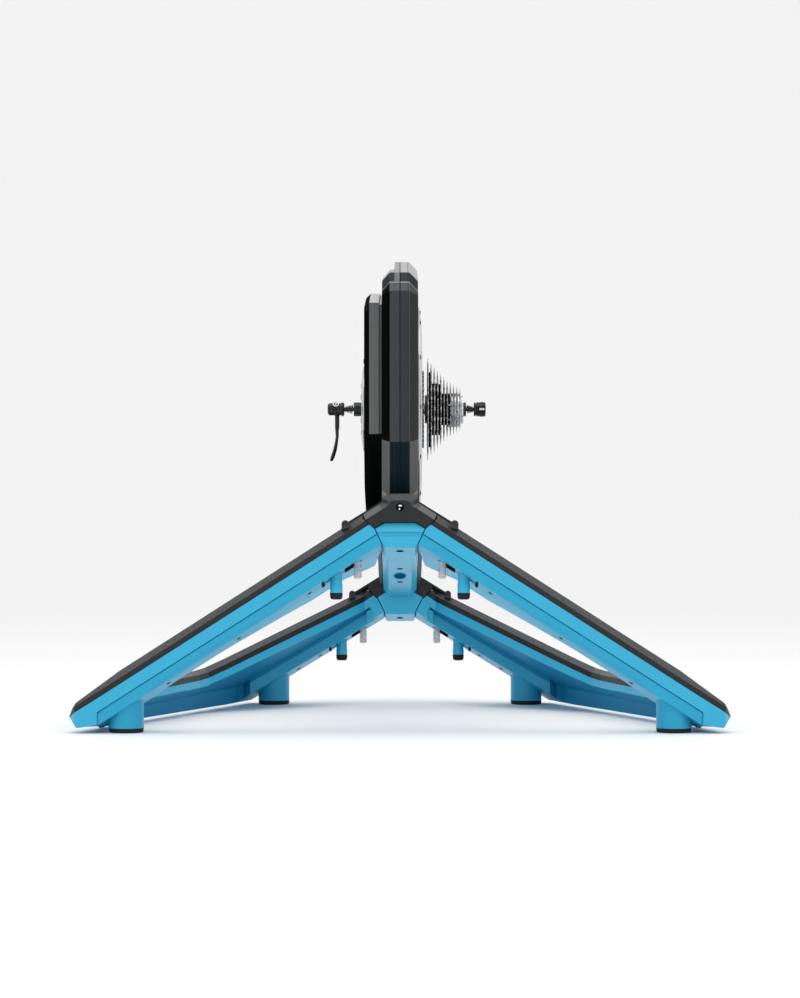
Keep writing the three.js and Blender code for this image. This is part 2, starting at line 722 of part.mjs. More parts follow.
function coilSpring(name, from, to) {
  const run = to - from;
  const way = Math.sign(run);
  const straight = 2 * springWire;
  const first = from + way * straight;
  const last = to - way * straight;
  const turns = springCurls;
  const count = turns * springSteps;
  const spots = Array.from({ length: count + 1 }, (_, i) => {
    const share = i / count;
    const radius = springWide + (springNarrow - springWide) * share;
    const angle = share * turns * Math.PI * 2;
    const along = first + (last - first) * share;
    return new THREE.Vector3(along, axleY + radius * Math.cos(angle), axleZ + radius * Math.sin(angle));
  });
  const start = spots[0].clone().setX(from);
  const end = spots[count].clone().setX(to);
  const path = [start, ...spots, end];
  // Each ring stands square to the wire's own direction there, its first corner turned away from the rod
  const rings = path.map((spot, i) => {
    const ahead = path[Math.min(i + 1, path.length - 1)].clone().sub(path[Math.max(i - 1, 0)]);
    const endward = i === 0 || i === path.length - 1;
    const heading = endward ? new THREE.Vector3(way, 0, 0) : ahead.normalize();
    const outward = new THREE.Vector3(0, spot.y - axleY, spot.z - axleZ).normalize();
    const side = new THREE.Vector3().crossVectors(heading, outward).normalize();
    const up = new THREE.Vector3().crossVectors(side, heading).normalize();
    return circle(springWire, 0, 0, springSides).map(([a, b]) => (
      spot.clone().addScaledVector(up, a).addScaledVector(side, b)
    ));
  });
  // Least gap between points a curl or more apart
  let least = Infinity;
  for (let i = 0; i <= count; i += 1) {
    for (let k = i + springSteps - 1; k <= count; k += 1) {
      least = Math.min(least, spots[i].distanceTo(spots[k]) - 2 * springWire);
    }
  }
  console.log(`${name} least gap to itself ${least.toFixed(2)} mm`);
  const flat = circle(springWire, 0, 0, springSides);
  return loft(rings, flat, flat);
}

// Places in plan are shares of the trainer's half width and half length: out from the middle line, then ahead
const inPlan = ([out, ahead]) => [out * trainerWidth / 2, ahead * trainerLength / 2];

const footRadius = 19.9;
const rearFoot = inPlan([0.82933, -0.78783]);
const frontFoot = inPlan([0.43467, 0.91652]);
const tipRun = 45;
const tipCorner = 7;
const tipRearShare = -0.87304;
const tipCornerShare = -0.86609;
const tipSideShare = -0.82087;
const wingFrontEdge = [[0.53333, 0.95304], [0.496, 0.98957]];
const wingOpening = [
  [0.57067, 0.3687], [0.62933, 0.29217], [0.656, 0.21565], [0.864, -0.57739],
  [0.85867, -0.64696], [0.816, -0.70261], [0.768, -0.71652], [0.62933, -0.78609], [0.50667, -0.77565],
];
// Roots of the arms at the hub: out from the middle line, then back from the hub's end
const frontRoots = [[hubWaist, 58.5], [46, 47.5]];
const rearRoots = [[70, 68], [29, 120]];
const wingOutline = [
  [hubWaist, -hubOuter],
  [trainerWidth / 2 - tipRun, tipRearShare * hubOuter],
  [trainerWidth / 2 - tipCorner, tipCornerShare * hubOuter],
  [trainerWidth / 2, tipSideShare * hubOuter],
  ...wingFrontEdge.map(inPlan),
  [hubWaist, hubOuter],
  ...frontRoots.map(([x, back]) => [x, hubOuter - back]),
  ...wingOpening.map(inPlan),
  ...rearRoots.map(([x, back]) => [x, back - hubOuter]),
];
const wingFloor = 4;

// The wing thins towards its outer end: side profile of what is left off, as distance out and rise
const tipShare = 0.848;
const shoulderRise = 41;
const tipEnd = 31.5;
const railReachShare = { rear: 0.912, front: 0.528 };
const padHeight = 5;
const padRadius = 19.7;
const padRound = 1.4;

const planView = (side) => (x, y, rise) => new THREE.Vector3(side * x, y, wingUnder(x, y) + rise);

// Upright foot tube whose top follows the wing's slope
function footTube(foot, radius, bottom, rise, side) {
  const outline = circle(radius, foot[0], foot[1], fineTurn);
  const place = planView(side);
  const rings = [
    outline.map(([x, y]) => new THREE.Vector3(side * x, y, bottom)),
    outline.map(([x, y]) => place(x, y, rise)),
  ];
  return loft(rings, outline, outline);
}

// Rail along an arm: set in from the wing's own edge, which runs between two of its outline's points.
// The front rail widens towards its foot.
const railSetback = 1;
const railWidth = { rear: [40, 40], front: [41, 98] };
const railTip = { rear: wingOutline[1], front: wingOutline[5] };

function railEdge(way, grow) {
  const root = [hubWaist, way * hubOuter];
  const tip = way < 0 ? railTip.rear : railTip.front;
  const slope = (tip[1] - root[1]) / (tip[0] - root[0]);
  const from = root[0] - overrun;
  const reach = (way < 0 ? railReachShare.rear : railReachShare.front) * trainerWidth / 2 + grow;
  const edge = (x, into) => [x, root[1] + slope * (x - root[0]) - way * into];
  const near = railSetback - grow * overrun;
  const [rootWidth, tipWidth] = way < 0 ? railWidth.rear : railWidth.front;
  const rootFar = railSetback + rootWidth + grow;
  const tipFar = railSetback + tipWidth + grow;
  return { outline: [edge(from, near), edge(reach, near), edge(reach, tipFar), edge(from, rootFar)], edge };
}

// Lock parts under each arm, by distance from the middle line
const lockReach = { rear: 71.7, front: 75.3 };
const lockInset = 21;
const lockRadius = 6.8;
const lockTravel = 6;
const lockFall = { rear: 26.5, front: 23.6 };
const lockSeat = 8;
const tipRadius = 7.2;
const tipHeight = 8;
const catchX = 47.5;
const catchRadius = 4.7;
const catchDrop = 18.5;
const catchSeat = 6;
const windowReach = [51, 63];
const windowHalf = 8;
const windowDepth = 5;

const wingGap = 0.8;
const hubCentre = (hubInner + hubOuter) / 2;
const knuckleHalf = 17.5;
const plateHalf = knuckleHalf - 2 * runGap;
const earFrom = knuckleHalf + runGap;
const earTo = 28;
const pinRadius = 1.8;
const pinBore = 2.3;
const pinTurn = 8;
const earFoot = 3;

function hubTool() {
  const half = [
    [hubWaist, hubDrop - overrun], [hubWaist, hubDrop], [hubFlare, hubFlareRise], [capShoulder, capShoulderRise],
    [capEdge, capEdgeRise], [capEdge, wingHeight],
  ];
  const section = [...half, ...half.map(([x, rise]) => [-x, rise]).reverse()];
  return stack(section, [[-wingGap, -hubOuter - overrun], [-wingGap, hubOuter + overrun]], datumView);
}

// Point carried by the hinge line, in the plane square to it
function hingeView(x, rise, y) {
  const lift = (rise - hingeRise) / Math.hypot(1, pitch);
  return new THREE.Vector3(x, y + pitch * lift, datum(y) + hingeRise + lift);
}

// Round bar along a wing's hinge line
function hingeBar(side, radius, from, to, sides = smallTurn) {
  return stack(circle(radius, side * hingeX, hingeRise, sides), [[0, from], [0, to]], hingeView);
}

function addHingeLeaves() {
  for (const [side, sideName] of [[-1, 'left'], [1, 'right']]) {
    for (const [way, wayName] of [[-1, 'rear'], [1, 'front']]) {
      const middle = way * hubCentre;
      const plate = [
        [side * (bladeHalf + seatGap), leafRise(bladeHalf + seatGap)],
        [side * hingeX, leafRise(hingeX)],
        [side * hingeX, leafRise(hingeX) + leafThickness],
        [side * (bladeHalf + seatGap), leafRise(bladeHalf + seatGap) + leafThickness],
      ];
      const leaf = join(
        stack(plate, [[0, middle - plateHalf], [0, middle + plateHalf]], datumView),
        hingeBar(side, barrelRadius, middle - knuckleHalf, middle + knuckleHalf),
        hingeBar(side, pinRadius, middle - earTo, middle + earTo, pinTurn),
      );
      addPiece(`hinge_leaf_${wayName}_${sideName}`, leaf, finishes.coverBlack);
    }
  }
}

function addWing(side, sideName) {
  const place = planView(side);
  const tool = hubTool();
  const ground = box([-trainerWidth, -trainerLength, -trainerHeight], [trainerWidth, trainerLength, wingFloor]);
  const feet = { rear: rearFoot, front: frontFoot };
  const ways = [[-1, 'rear'], [1, 'front']];
  const deep = wingHeight + overrun;

  const coverBlank = stack(
    wingOutline,
    [[0, coverBase], [0, wingHeight - wingChamferRise], [wingChamfer, wingHeight]],
    place,
  );
  const notches = [];
  const ears = [];
  for (const [way] of ways) {
    const middle = way * hubCentre;
    notches.push(hingeBar(side, barrelRadius + runGap, middle - earFrom, middle + earFrom));
    for (const [from, to] of [[middle - earTo, middle - earFrom], [middle + earFrom, middle + earTo]]) {
      const foot = [
        [side * (hingeX - barrelRadius), hingeRise], [side * (hingeX + barrelRadius), hingeRise],
        [side * (hingeX + barrelRadius), hingeRise - barrelProud - earFoot - wingDrop * barrelRadius],
        [side * (hingeX - barrelRadius), hingeRise - barrelProud - earFoot],
      ];
      ears.push(join(hingeBar(side, barrelRadius, from, to), stack(foot, [[0, from], [0, to]], hingeView)));
    }
  }
  const pinHoles = ways.map(([way]) => (
    hingeBar(side, pinBore, way * hubCentre - earTo - overrun, way * hubCentre + earTo + overrun, pinTurn)
  ));
  const halfWidth = trainerWidth / 2;
  const outerEnd = halfWidth + overrun;
  const thinned = stack(
    [
      [tipShare * halfWidth, wingHeight], [halfWidth - tipCorner, shoulderRise], [halfWidth, tipEnd],
      [outerEnd, tipEnd], [outerEnd, wingHeight + overrun], [tipShare * halfWidth, wingHeight + overrun],
    ],
    [[0, -hubOuter], [0, hubOuter]],
    (x, rise, y) => place(x, y, rise),
  );
  const cover = cut(join(cut(coverBlank, tool, thinned, ...notches, ground), ...ears), ...pinHoles);
  addPiece(`wing_cover_${sideName}`, cover, finishes.coverBlack);

  const shellBlank = stack(wingOutline, [[0, 0], [0, coverBase - seatGap]], place);
  const recesses = ways.flatMap(([way, wayName]) => [
    stack(railEdge(way, seatGap).outline, [[0, -deep], [0, railHeight + seatGap]], place),
    footTube(feet[wayName], footRadius + seatGap, -deep, railHeight + seatGap, side),
    post(side * feet[wayName][0], feet[wayName][1], -overrun, padHeight + seatGap, footRadius + seatGap,
      fineTurn),
  ]);
  addPiece(`wing_shell_${sideName}`, cut(shellBlank, tool, ground, ...recesses), finishes.wingBlue);

  for (const [way, wayName] of ways) {
    const rail = railEdge(way, 0);
    const lockX = lockReach[wayName];
    const lockY = rail.edge(lockX, lockInset)[1];
    const blank = stack(rail.outline, [[0, 0], [0, railHeight]], place);
    const channel = stack([
      [lockX - lockRadius - seatGap, lockY - lockRadius - seatGap],
      [lockX + lockRadius + lockTravel + runGap, lockY - lockRadius - seatGap],
      [lockX + lockRadius + lockTravel + runGap, lockY + lockRadius + seatGap],
      [lockX - lockRadius - seatGap, lockY + lockRadius + seatGap],
    ], [[0, -overrun], [0, lockSeat + seatGap]], place);
    const opening = stack([
      [windowReach[0], lockY - windowHalf], [windowReach[1], lockY - windowHalf],
      [windowReach[1], lockY + windowHalf], [windowReach[0], lockY + windowHalf],
    ], [[0, -overrun], [0, windowDepth]], place);
    const catchHole = stack(circle(catchRadius + seatGap, catchX, lockY, smallTurn),
      [[0, -overrun], [0, catchSeat + seatGap]], place);
    const tube = footTube(feet[wayName], footRadius, padHeight + seatGap, railHeight / 2, side);
    const name = `${wayName}_${sideName}`;
    addPiece(`rail_${name}`, join(cut(blank, tool, ground, channel, opening, catchHole), tube), finishes.railBlue);
    addPiece(
      `foot_pad_${name}`,
      stack(
        circle(padRadius, side * feet[wayName][0], feet[wayName][1], fineTurn),
        [[padRound, 0], [0, padRound], [0, padHeight]],
        (x, y, level) => new THREE.Vector3(x, y, level),
      ),
      finishes.rubber,
    );

    const bottom = wingUnder(lockX, lockY) - lockFall[wayName];
    const shank = circle(lockRadius, lockX, lockY, smallTurn);
    const lockPost = loft([
      shank.map(([x, y]) => new THREE.Vector3(side * x, y, bottom + tipHeight + seatGap)),
      shank.map(([x, y]) => place(x, y, lockSeat)),
    ], shank, shank);
    addPiece(`lock_post_${name}`, lockPost, finishes.wingBlue);
    addPiece(
      `lock_tip_${name}`,
      post(side * lockX, lockY, bottom, bottom + tipHeight, tipRadius),
      finishes.rubber,
    );
    const pin = circle(catchRadius, catchX, lockY, smallTurn);
    const lockCatch = loft([
      pin.map(([x, y]) => new THREE.Vector3(side * x, y, wingUnder(catchX, lockY) - catchDrop)),
      pin.map(([x, y]) => place(x, y, catchSeat)),
    ], pin, pin);
    addPiece(`lock_catch_${name}`, lockCatch, finishes.clearWhite);
  }
}

addFrame();
addShells();
addSideCovers();
addAxle();
addRotor();
addCassette();
addSkewer();
addHingeLeaves();
addWing(-1, 'left');
addWing(1, 'right');

export default trainer;
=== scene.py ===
import math

import bmesh
import bpy
from mathutils import Matrix, Vector


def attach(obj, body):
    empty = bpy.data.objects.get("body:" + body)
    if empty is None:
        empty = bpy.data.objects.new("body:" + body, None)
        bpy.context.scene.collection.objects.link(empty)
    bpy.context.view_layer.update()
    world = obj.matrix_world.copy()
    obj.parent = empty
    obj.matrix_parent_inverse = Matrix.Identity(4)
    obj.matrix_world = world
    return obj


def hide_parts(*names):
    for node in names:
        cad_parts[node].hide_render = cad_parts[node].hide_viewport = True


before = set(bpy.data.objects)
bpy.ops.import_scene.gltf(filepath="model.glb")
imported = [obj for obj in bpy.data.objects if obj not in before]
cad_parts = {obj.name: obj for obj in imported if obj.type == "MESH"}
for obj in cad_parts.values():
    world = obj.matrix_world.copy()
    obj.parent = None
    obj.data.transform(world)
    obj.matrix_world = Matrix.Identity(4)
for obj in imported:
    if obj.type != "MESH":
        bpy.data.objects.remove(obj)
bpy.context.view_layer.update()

scene = bpy.context.scene

# Camera: level, behind the trainer and a little above its hubs, as the photograph was taken.
# Its distance is measured from the rear feet, and a long lens keeps the legs nearly in true view.
CAMERA_HEIGHT = 0.265
CAMERA_BACK = 3.55
REAR_FEET_Y = -0.2265
LENS_PIXELS = 3124
FRAME_PIXELS_HIGH = 998
SENSOR = 36

eye = bpy.data.objects.new("studio_camera", bpy.data.cameras.new("studio_camera"))
scene.collection.objects.link(eye)
eye.location = (0, REAR_FEET_Y - CAMERA_BACK, CAMERA_HEIGHT)
eye.rotation_euler = (math.radians(90), 0, 0)
eye.data.sensor_width = SENSOR
eye.data.lens = LENS_PIXELS * SENSOR / FRAME_PIXELS_HIGH
scene.camera = eye

# Studio: one pale sheet curved up behind the trainer, and broad soft lamps.
# The photograph's ground is almost white and the trainer throws next to no shadow on it.
SHEET_HALF = 7.0
SHEET_BACK = 6.5
SHEET_CURVE = 2.4
SHEET_TOP = 7.0
SHEET_COLOUR = (0.97, 0.97, 0.97, 1)
SKY_STRENGTH = 0.9


def studio_sheet():
    steps = 24
    side = [(-SHEET_HALF, 0.0), (SHEET_BACK - SHEET_CURVE, 0.0)]
    for i in range(1, steps + 1):
        turn = math.radians(90) * i / steps
        y = SHEET_BACK - SHEET_CURVE + SHEET_CURVE * math.sin(turn)
        side.append((y, SHEET_CURVE * (1 - math.cos(turn))))
    side.append((SHEET_BACK, SHEET_TOP))
    points = [(x, y, z) for y, z in side for x in (-SHEET_HALF, SHEET_HALF)]
    faces = [(2 * i, 2 * i + 1, 2 * i + 3, 2 * i + 2) for i in range(len(side) - 1)]
    mesh = bpy.data.meshes.new("studio_sheet")
    mesh.from_pydata(points, [], faces)
    mesh.polygons.foreach_set("use_smooth", [True] * len(faces))
    sheet = bpy.data.objects.new("studio_sheet", mesh)
    scene.collection.objects.link(sheet)
    paint = bpy.data.materials.new("studio_paint")
    paint.use_nodes = True
    paper = paint.node_tree.nodes["Principled BSDF"]
    paper.inputs["Base Color"].default_value = SHEET_COLOUR
    paper.inputs["Roughness"].default_value = 0.9
    mesh.materials.append(paint)


studio_sheet()

sky = bpy.data.worlds.new("studio_sky")
scene.world = sky
sky.use_nodes = True
sky.node_tree.nodes["Background"].inputs["Color"].default_value = (1, 1, 1, 1)
sky.node_tree.nodes["Background"].inputs["Strength"].default_value = SKY_STRENGTH

for name, place, aim, size, power in (
    ("lamp_over", (0.0, -0.6, 2.6), (0, 0, 0.2), 1.6, 16),
    ("lamp_left", (-2.4, -2.2, 1.6), (0, 0, 0.25), 1.4, 6),
    ("lamp_right", (2.4, -2.2, 1.6), (0, 0, 0.25), 1.4, 6),
):
    light = bpy.data.lights.new(name, "AREA")
    light.size = size
    light.energy = power
    lamp = bpy.data.objects.new(name, light)
    scene.collection.objects.link(lamp)
    lamp.location = place
    lamp.rotation_euler = (Vector(aim) - Vector(place)).to_track_quat("-Z", "Y").to_euler()

scene.view_settings.view_transform = "Standard"

# Shared surface effects: moulded grain, a painted highlight line along the edges, and settled dust that also
# lightens upward faces as painted top light.
# Each is a node group that gives only a mask, a height or a normal, and the materials choose the colours.
GRAIN_SCALE = 900.0
BROAD_SCALE = 22
DUST_SHEEN_SCALE = 420.0
EDGE_RADIUS = 0.0006
EDGE_REACH = 3.0


def feed(tree, socket, value):
    """Links a socket from another socket, or sets its plain value."""
    if isinstance(value, bpy.types.NodeSocket):
        tree.links.new(value, socket)
    else:
        socket.default_value = value


def fed(tree, kind, **inputs):
    """Adds a node with the named inputs fed."""
    made = tree.nodes.new(kind)
    for label, value in inputs.items():
        feed(tree, made.inputs[label], value)
    return made


def sum_of(tree, operation, first, second, clamp=False):
    """Adds a sum of two values and gives its output."""
    made = tree.nodes.new("ShaderNodeMath")
    made.operation = operation
    made.use_clamp = clamp
    feed(tree, made.inputs[0], first)
    feed(tree, made.inputs[1], second)
    return made.outputs[0]


def node_group(name, inputs, outputs):
    group = bpy.data.node_groups.new(name, "ShaderNodeTree")
    for label, value in inputs:
        made = group.interface.new_socket(label, in_out="INPUT", socket_type="NodeSocketFloat")
        made.default_value = value
    for label, kind in outputs:
        group.interface.new_socket(label, in_out="OUTPUT", socket_type=kind)
    return group, group.nodes.new("NodeGroupInput").outputs, group.nodes.new("NodeGroupOutput").inputs


def grain_group():
    group, given, result = node_group(
        "fine_grain", [("Scale", GRAIN_SCALE), ("Contrast", 0.5)],
        [("Height", "NodeSocketFloat"), ("Value", "NodeSocketFloat")],
    )
    place = fed(group, "ShaderNodeTexCoord").outputs["Object"]
    fine = fed(group, "ShaderNodeTexNoise", Vector=place, Scale=given["Scale"], Detail=4)
    broad = fed(group, "ShaderNodeTexNoise", Vector=place, Scale=BROAD_SCALE, Detail=3)
    feed(group, result["Height"], sum_of(group, "MULTIPLY", fine.outputs["Fac"], given["Contrast"]))
    feed(group, result["Value"], broad.outputs["Fac"])
    return group


# Painted highlight: the mask marks the rounded edges, where the materials paint a lighter line.
def edge_group():
    group, given, result = node_group(
        "edge_line", [("Radius", EDGE_RADIUS), ("Reach", EDGE_REACH)],
        [("Mask", "NodeSocketFloat"), ("Normal", "NodeSocketVector")],
    )
    round_off = fed(group, "ShaderNodeBevel", Radius=given["Radius"])
    round_off.samples = 4
    same = group.nodes.new("ShaderNodeVectorMath")
    same.operation = "DOT_PRODUCT"
    feed(group, same.inputs[0], round_off.outputs["Normal"])
    feed(group, same.inputs[1], fed(group, "ShaderNodeNewGeometry").outputs["True Normal"])
    turn = sum_of(group, "SUBTRACT", 1, same.outputs["Value"])
    feed(group, result["Mask"], sum_of(group, "MULTIPLY", turn, given["Reach"], clamp=True))
    feed(group, result["Normal"], round_off.outputs["Normal"])
    return group


# Settled dust and painted top light: upward-facing faces are lightened in noisy patches.
def dust_and_sheen_group():
    group, given, result = node_group("dust_and_top_sheen", [("Amount", 0.1)], [("Mask", "NodeSocketFloat")])
    place = fed(group, "ShaderNodeTexCoord").outputs["Object"]
    speck = fed(group, "ShaderNodeTexNoise", Vector=place, Scale=DUST_SHEEN_SCALE, Detail=5)
    flat = fed(group, "ShaderNodeNewGeometry").outputs["True Normal"]
    upward = sum_of(group, "MAXIMUM", fed(group, "ShaderNodeSeparateXYZ", Vector=flat).outputs["Z"], 0)
    both = sum_of(group, "MULTIPLY", upward, speck.outputs["Fac"])
    feed(group, result["Mask"], sum_of(group, "MULTIPLY", both, given["Amount"]))
    return group


grain = grain_group()
edge_line = edge_group()
dust_and_sheen = dust_and_sheen_group()

# Materials: painted aluminium and steel, moulded plastic, rubber and bright steel.
# Colours are given as they look in the photograph and turned into linear light here.
DUST_SHEEN_COLOUR = (0.55, 0.56, 0.57, 1)
ROUGH_SPREAD = 0.06
BUMP_DEPTH = 0.0002
GREASE_SHADE_SCALE = 330
GREASE_SHADE_EDGE = (0.36, 0.48)
GREASE_SHADE_SEEN = (16, 15, 14)
paints = {}


def tone(red, green, blue):
    share = [c / 255 for c in (red, green, blue)]
    return tuple(c / 12.92 if c <= 0.04045 else ((c + 0.055) / 1.055) ** 2.4 for c in share) + (1,)


def lighter(colour, factor):
    return tuple(min(1, c * factor) for c in colour[:3]) + (1,)


def effect(tree, group):
    made = tree.nodes.new("ShaderNodeGroup")
    made.node_tree = group
    return made


def mixed(tree, share, first, second):
    """Mixes two colours, plain or from a socket, and gives the output."""
    made = tree.nodes.new("ShaderNodeMix")
    made.data_type = "RGBA"
    for label, value in (("Factor", share), ("A", first), ("B", second)):
        feed(tree, made.inputs[label], value)
    return made.outputs["Result"]


def surface(name, seen, rough, metal=0.0, shine=0.5, coat=0.0, bump=0.1, edge=1.5, dust_and_sheen_amount=0.1):
    """Makes a paint; seen is its colour in the photograph and edge the brightness of the painted highlight
    along its edges.
    """
    colour = tone(*seen)
    paint = bpy.data.materials.new(name)
    paint.use_nodes = True
    tree = paint.node_tree
    skin = tree.nodes["Principled BSDF"].inputs
    texture = effect(tree, grain).outputs
    border = effect(tree, edge_line).outputs
    dust_sheen_layer = effect(tree, dust_and_sheen)
    dust_sheen_layer.inputs["Amount"].default_value = dust_and_sheen_amount
    shade = mixed(tree, texture["Value"], lighter(colour, 0.94), lighter(colour, 1.06))
    # Painted highlight: the edges are lightened by the edge factor.
    edge_lit = mixed(tree, border["Mask"], shade, lighter(colour, edge))
    # Settled dust, which also paints upward faces lighter as painted top light.
    feed(tree, skin["Base Color"], mixed(tree, dust_sheen_layer.outputs["Mask"], edge_lit, DUST_SHEEN_COLOUR))
    gloss = fed(tree, "ShaderNodeMapRange", Value=texture["Value"])
    gloss.inputs["To Min"].default_value = max(0.05, rough - ROUGH_SPREAD)
    gloss.inputs["To Max"].default_value = min(1, rough + ROUGH_SPREAD)
    feed(tree, skin["Roughness"], gloss.outputs["Result"])
    rise = fed(tree, "ShaderNodeBump", Strength=bump, Distance=BUMP_DEPTH, Height=texture["Height"])
    feed(tree, rise.inputs["Normal"], border["Normal"])
    feed(tree, skin["Normal"], rise.outputs["Normal"])
    for label, value in (
        ("Metallic", metal), ("Specular IOR Level", shine), ("Coat Weight", coat), ("Coat Roughness", 0.2),
    ):
        skin[label].default_value = value
    paints[name] = paint


surface("body_black", (52, 54, 58), 0.44, shine=0.25, bump=0.25, edge=3.0, dust_and_sheen_amount=0.12)
surface("body_ink", (44, 47, 53), 0.42, shine=0.25, bump=0.25, edge=3.0, dust_and_sheen_amount=0.12)
# Painted shade: a darker copy of the body's black for its shaded chamfers.
surface("body_edge", (35, 35, 37), 0.44, shine=0.2, bump=0.25, edge=3.0, dust_and_sheen_amount=0.08)
# Painted highlight: a lighter slate for highlight bands on the body's bevels.
surface("body_slate", (72, 74, 76), 0.42, shine=0.3, bump=0.2, edge=1.6)
# Painted shade: dark teal for the body's faces turned down.
surface("body_deep", (10, 26, 34), 0.5, shine=0.08, bump=0.2, edge=3.0, dust_and_sheen_amount=0.04)
# Near black for black parts, and also painted shade on the left chamfer, the motor cover's turned-down slopes
# and dark openings and slots.
surface("body_night", (9, 11, 11), 0.6, shine=0.0, bump=0.2, edge=3.0, dust_and_sheen_amount=0.04)
surface("body_pale", (182, 183, 184), 0.4, bump=0.2, edge=1.3, dust_and_sheen_amount=0.2)
# Painted light: lighter greys for the body's top and the fin's top, as lit from above.
surface("top_lit_grey", (152, 153, 154), 0.4, shine=0.4, bump=0.2, edge=1.3, dust_and_sheen_amount=0.2)
surface("fin_lit_grey", (122, 122, 125), 0.4, shine=0.4, bump=0.2, edge=1.4, dust_and_sheen_amount=0.2)
surface("cover_black", (36, 38, 39), 0.4, shine=0.22, coat=0.05, bump=0.3, edge=2.5, dust_and_sheen_amount=0.3)
surface("cover_sheen", (84, 85, 86), 0.42, shine=0.3, bump=0.3, dust_and_sheen_amount=0.2)
surface("bump_grey", (87, 91, 90), 0.45, shine=0.35, bump=0.2, edge=1.6)
surface("wing_blue", (50, 171, 209), 0.38, shine=0.3, coat=0.08, edge=1.35)
surface("rail_blue", (36, 160, 198), 0.4, shine=0.3, coat=0.05, bump=0.12, edge=1.35)
surface("steel", (196, 198, 202), 0.28, metal=1.0, edge=1.1, dust_and_sheen_amount=0.05)
surface("dark_steel", (13, 13, 14), 0.22, shine=0.35, coat=0.12, edge=4.0, dust_and_sheen_amount=0.02)
surface("cog_steel", (196, 196, 197), 0.3, metal=0.75, edge=1.1, dust_and_sheen_amount=0.02)
surface("alloy", (205, 206, 208), 0.36, metal=0.85, bump=0.12, edge=1.1, dust_and_sheen_amount=0.08)
surface("copper", (188, 112, 66), 0.3, metal=0.9, bump=0.3, edge=1.2, dust_and_sheen_amount=0.02)
surface("rubber", (30, 30, 31), 0.75, shine=0.25, bump=0.5, edge=1.6)
# Painted shade: a darker copy of the legs' blue for the faces inside their hollows.
surface("hollow_shade_blue", (12, 128, 172), 0.5, shine=0.15, edge=1.3)
surface("slot_shade", (14, 84, 118), 0.6, shine=0.0, edge=1.2, dust_and_sheen_amount=0.02)
# Painted highlight: near white for the glints in the power socket.
surface("glint_white", (235, 238, 240), 0.2, bump=0.02, edge=1.0, dust_and_sheen_amount=0.0)
surface("clear_white", (196, 200, 204), 0.3, coat=0.2, edge=1.1)


def grease_and_shade(paint):
    """Lays black patches at random over a bright steel, as chain grease and as painted shade between the
    cogs.
    """
    tree = paint.node_tree
    base = tree.nodes["Principled BSDF"].inputs["Base Color"]
    place = fed(tree, "ShaderNodeTexCoord").outputs["Object"]
    patch = fed(tree, "ShaderNodeTexNoise", Vector=place, Scale=GREASE_SHADE_SCALE, Detail=2)
    cover = fed(tree, "ShaderNodeMapRange", Value=patch.outputs["Fac"])
    for label, value in (
        ("From Min", GREASE_SHADE_EDGE[0]), ("From Max", GREASE_SHADE_EDGE[1]), ("To Min", 1), ("To Max", 0),
    ):
        cover.inputs[label].default_value = value
    under = base.links[0].from_socket
    feed(tree, base, mixed(tree, cover.outputs["Result"], under, tone(*GREASE_SHADE_SEEN)))


# Painted shade: the cogs get dark patches that stand for the shade between them, as well as for grease.
grease_and_shade(paints["cog_steel"])
paints["clear_white"].node_tree.nodes["Principled BSDF"].inputs["Alpha"].default_value = 0.6

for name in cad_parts:
    mesh = bpy.data.objects[name].data
    slot = mesh.materials[0].name.split(".")[0] if mesh.materials and mesh.materials[0] else ""
    if slot in paints:
        mesh.materials[0] = paints[slot]

# Body: two moulded halves closed round the motor, with a dark seam down the middle of the rear face.
# The left half is lower along the top, beside a narrow upright fin, and the right half has a finer seam.
MM = 0.001
DATUM = 175.05
PITCH = 0.183
HUB_OUTER = 287.5
HUB_INNER = 225.0
BEAM_REAR = 213.03
BEAM_FRONT = 139.98
BODY_REAR = [(-287.5, 328.9), (-287.5, 497.8), (-276.0, 507.5)]
BODY_TOP = [(-236.5, 511.5), (-234.5, 522.0), (-19.55, 550.0), (8.5, 545.0)]
BODY_LOW_TOP = [(-236.5, 511.5), (-234.5, 522.0), (-19.55, 541.2), (8.5, 536.3)]
BODY_FRONT = [(58.5, 470.0), (33.5, 330.0), (73.5, 250.0), (224.7, 202.0), (224.7, 180.4)]
BODY_UNDER = [(-203.0, 249.8), (-225.5, 261.6), (-251.5, 266.4)]
RIGHT_STEPS = [
    (0.25, 0.8), (0.5, 0.25), (0.8, 0.0), (8.6, 0.0), (8.8, 0.7), (9.3, 0.7), (9.5, 0.1), (10.3, 0.1),
    (10.9, 0.5), (19.2, 9.2), (20.1, 10.3), (20.5, 11.5),
]
LEFT_STEPS = [
    (5.9, 0.9), (6.4, 0.3), (6.9, 0.05), (11.4, 0.05), (12.0, 0.4), (19.6, 9.2), (20.3, 10.3), (20.5, 11.5),
]
FIN_STEPS = [(0.25, 0.8), (0.5, 0.25), (0.8, 0.0), (5.7, 0.0), (6.1, 0.2), (6.4, 0.8)]
GASKET_STEPS = [(-0.3, 0.7), (0.3, 0.7)]
SKIRT = [
    (21.3, 14.8), (21.9, 14.0), (26.0, 14.0), (26.6, 14.8), (26.6, 40.0), (20.5, 48.0), (14.5, 48.0),
    (14.5, 40.3), (21.3, 40.3),
]
SKIRT_RUN = [(-216, 0.7), (-215, 0), (215, 0), (216, 0.7)]
SKIRT_OUTER = 22
TOP_FROM = 0.505
FIN_SIDES = (-0.0064, -0.0001)
FOOT_BELOW = 0.33
BEVEL_FROM = 0.0104
BEVEL_DARK_FROM = 0.0108


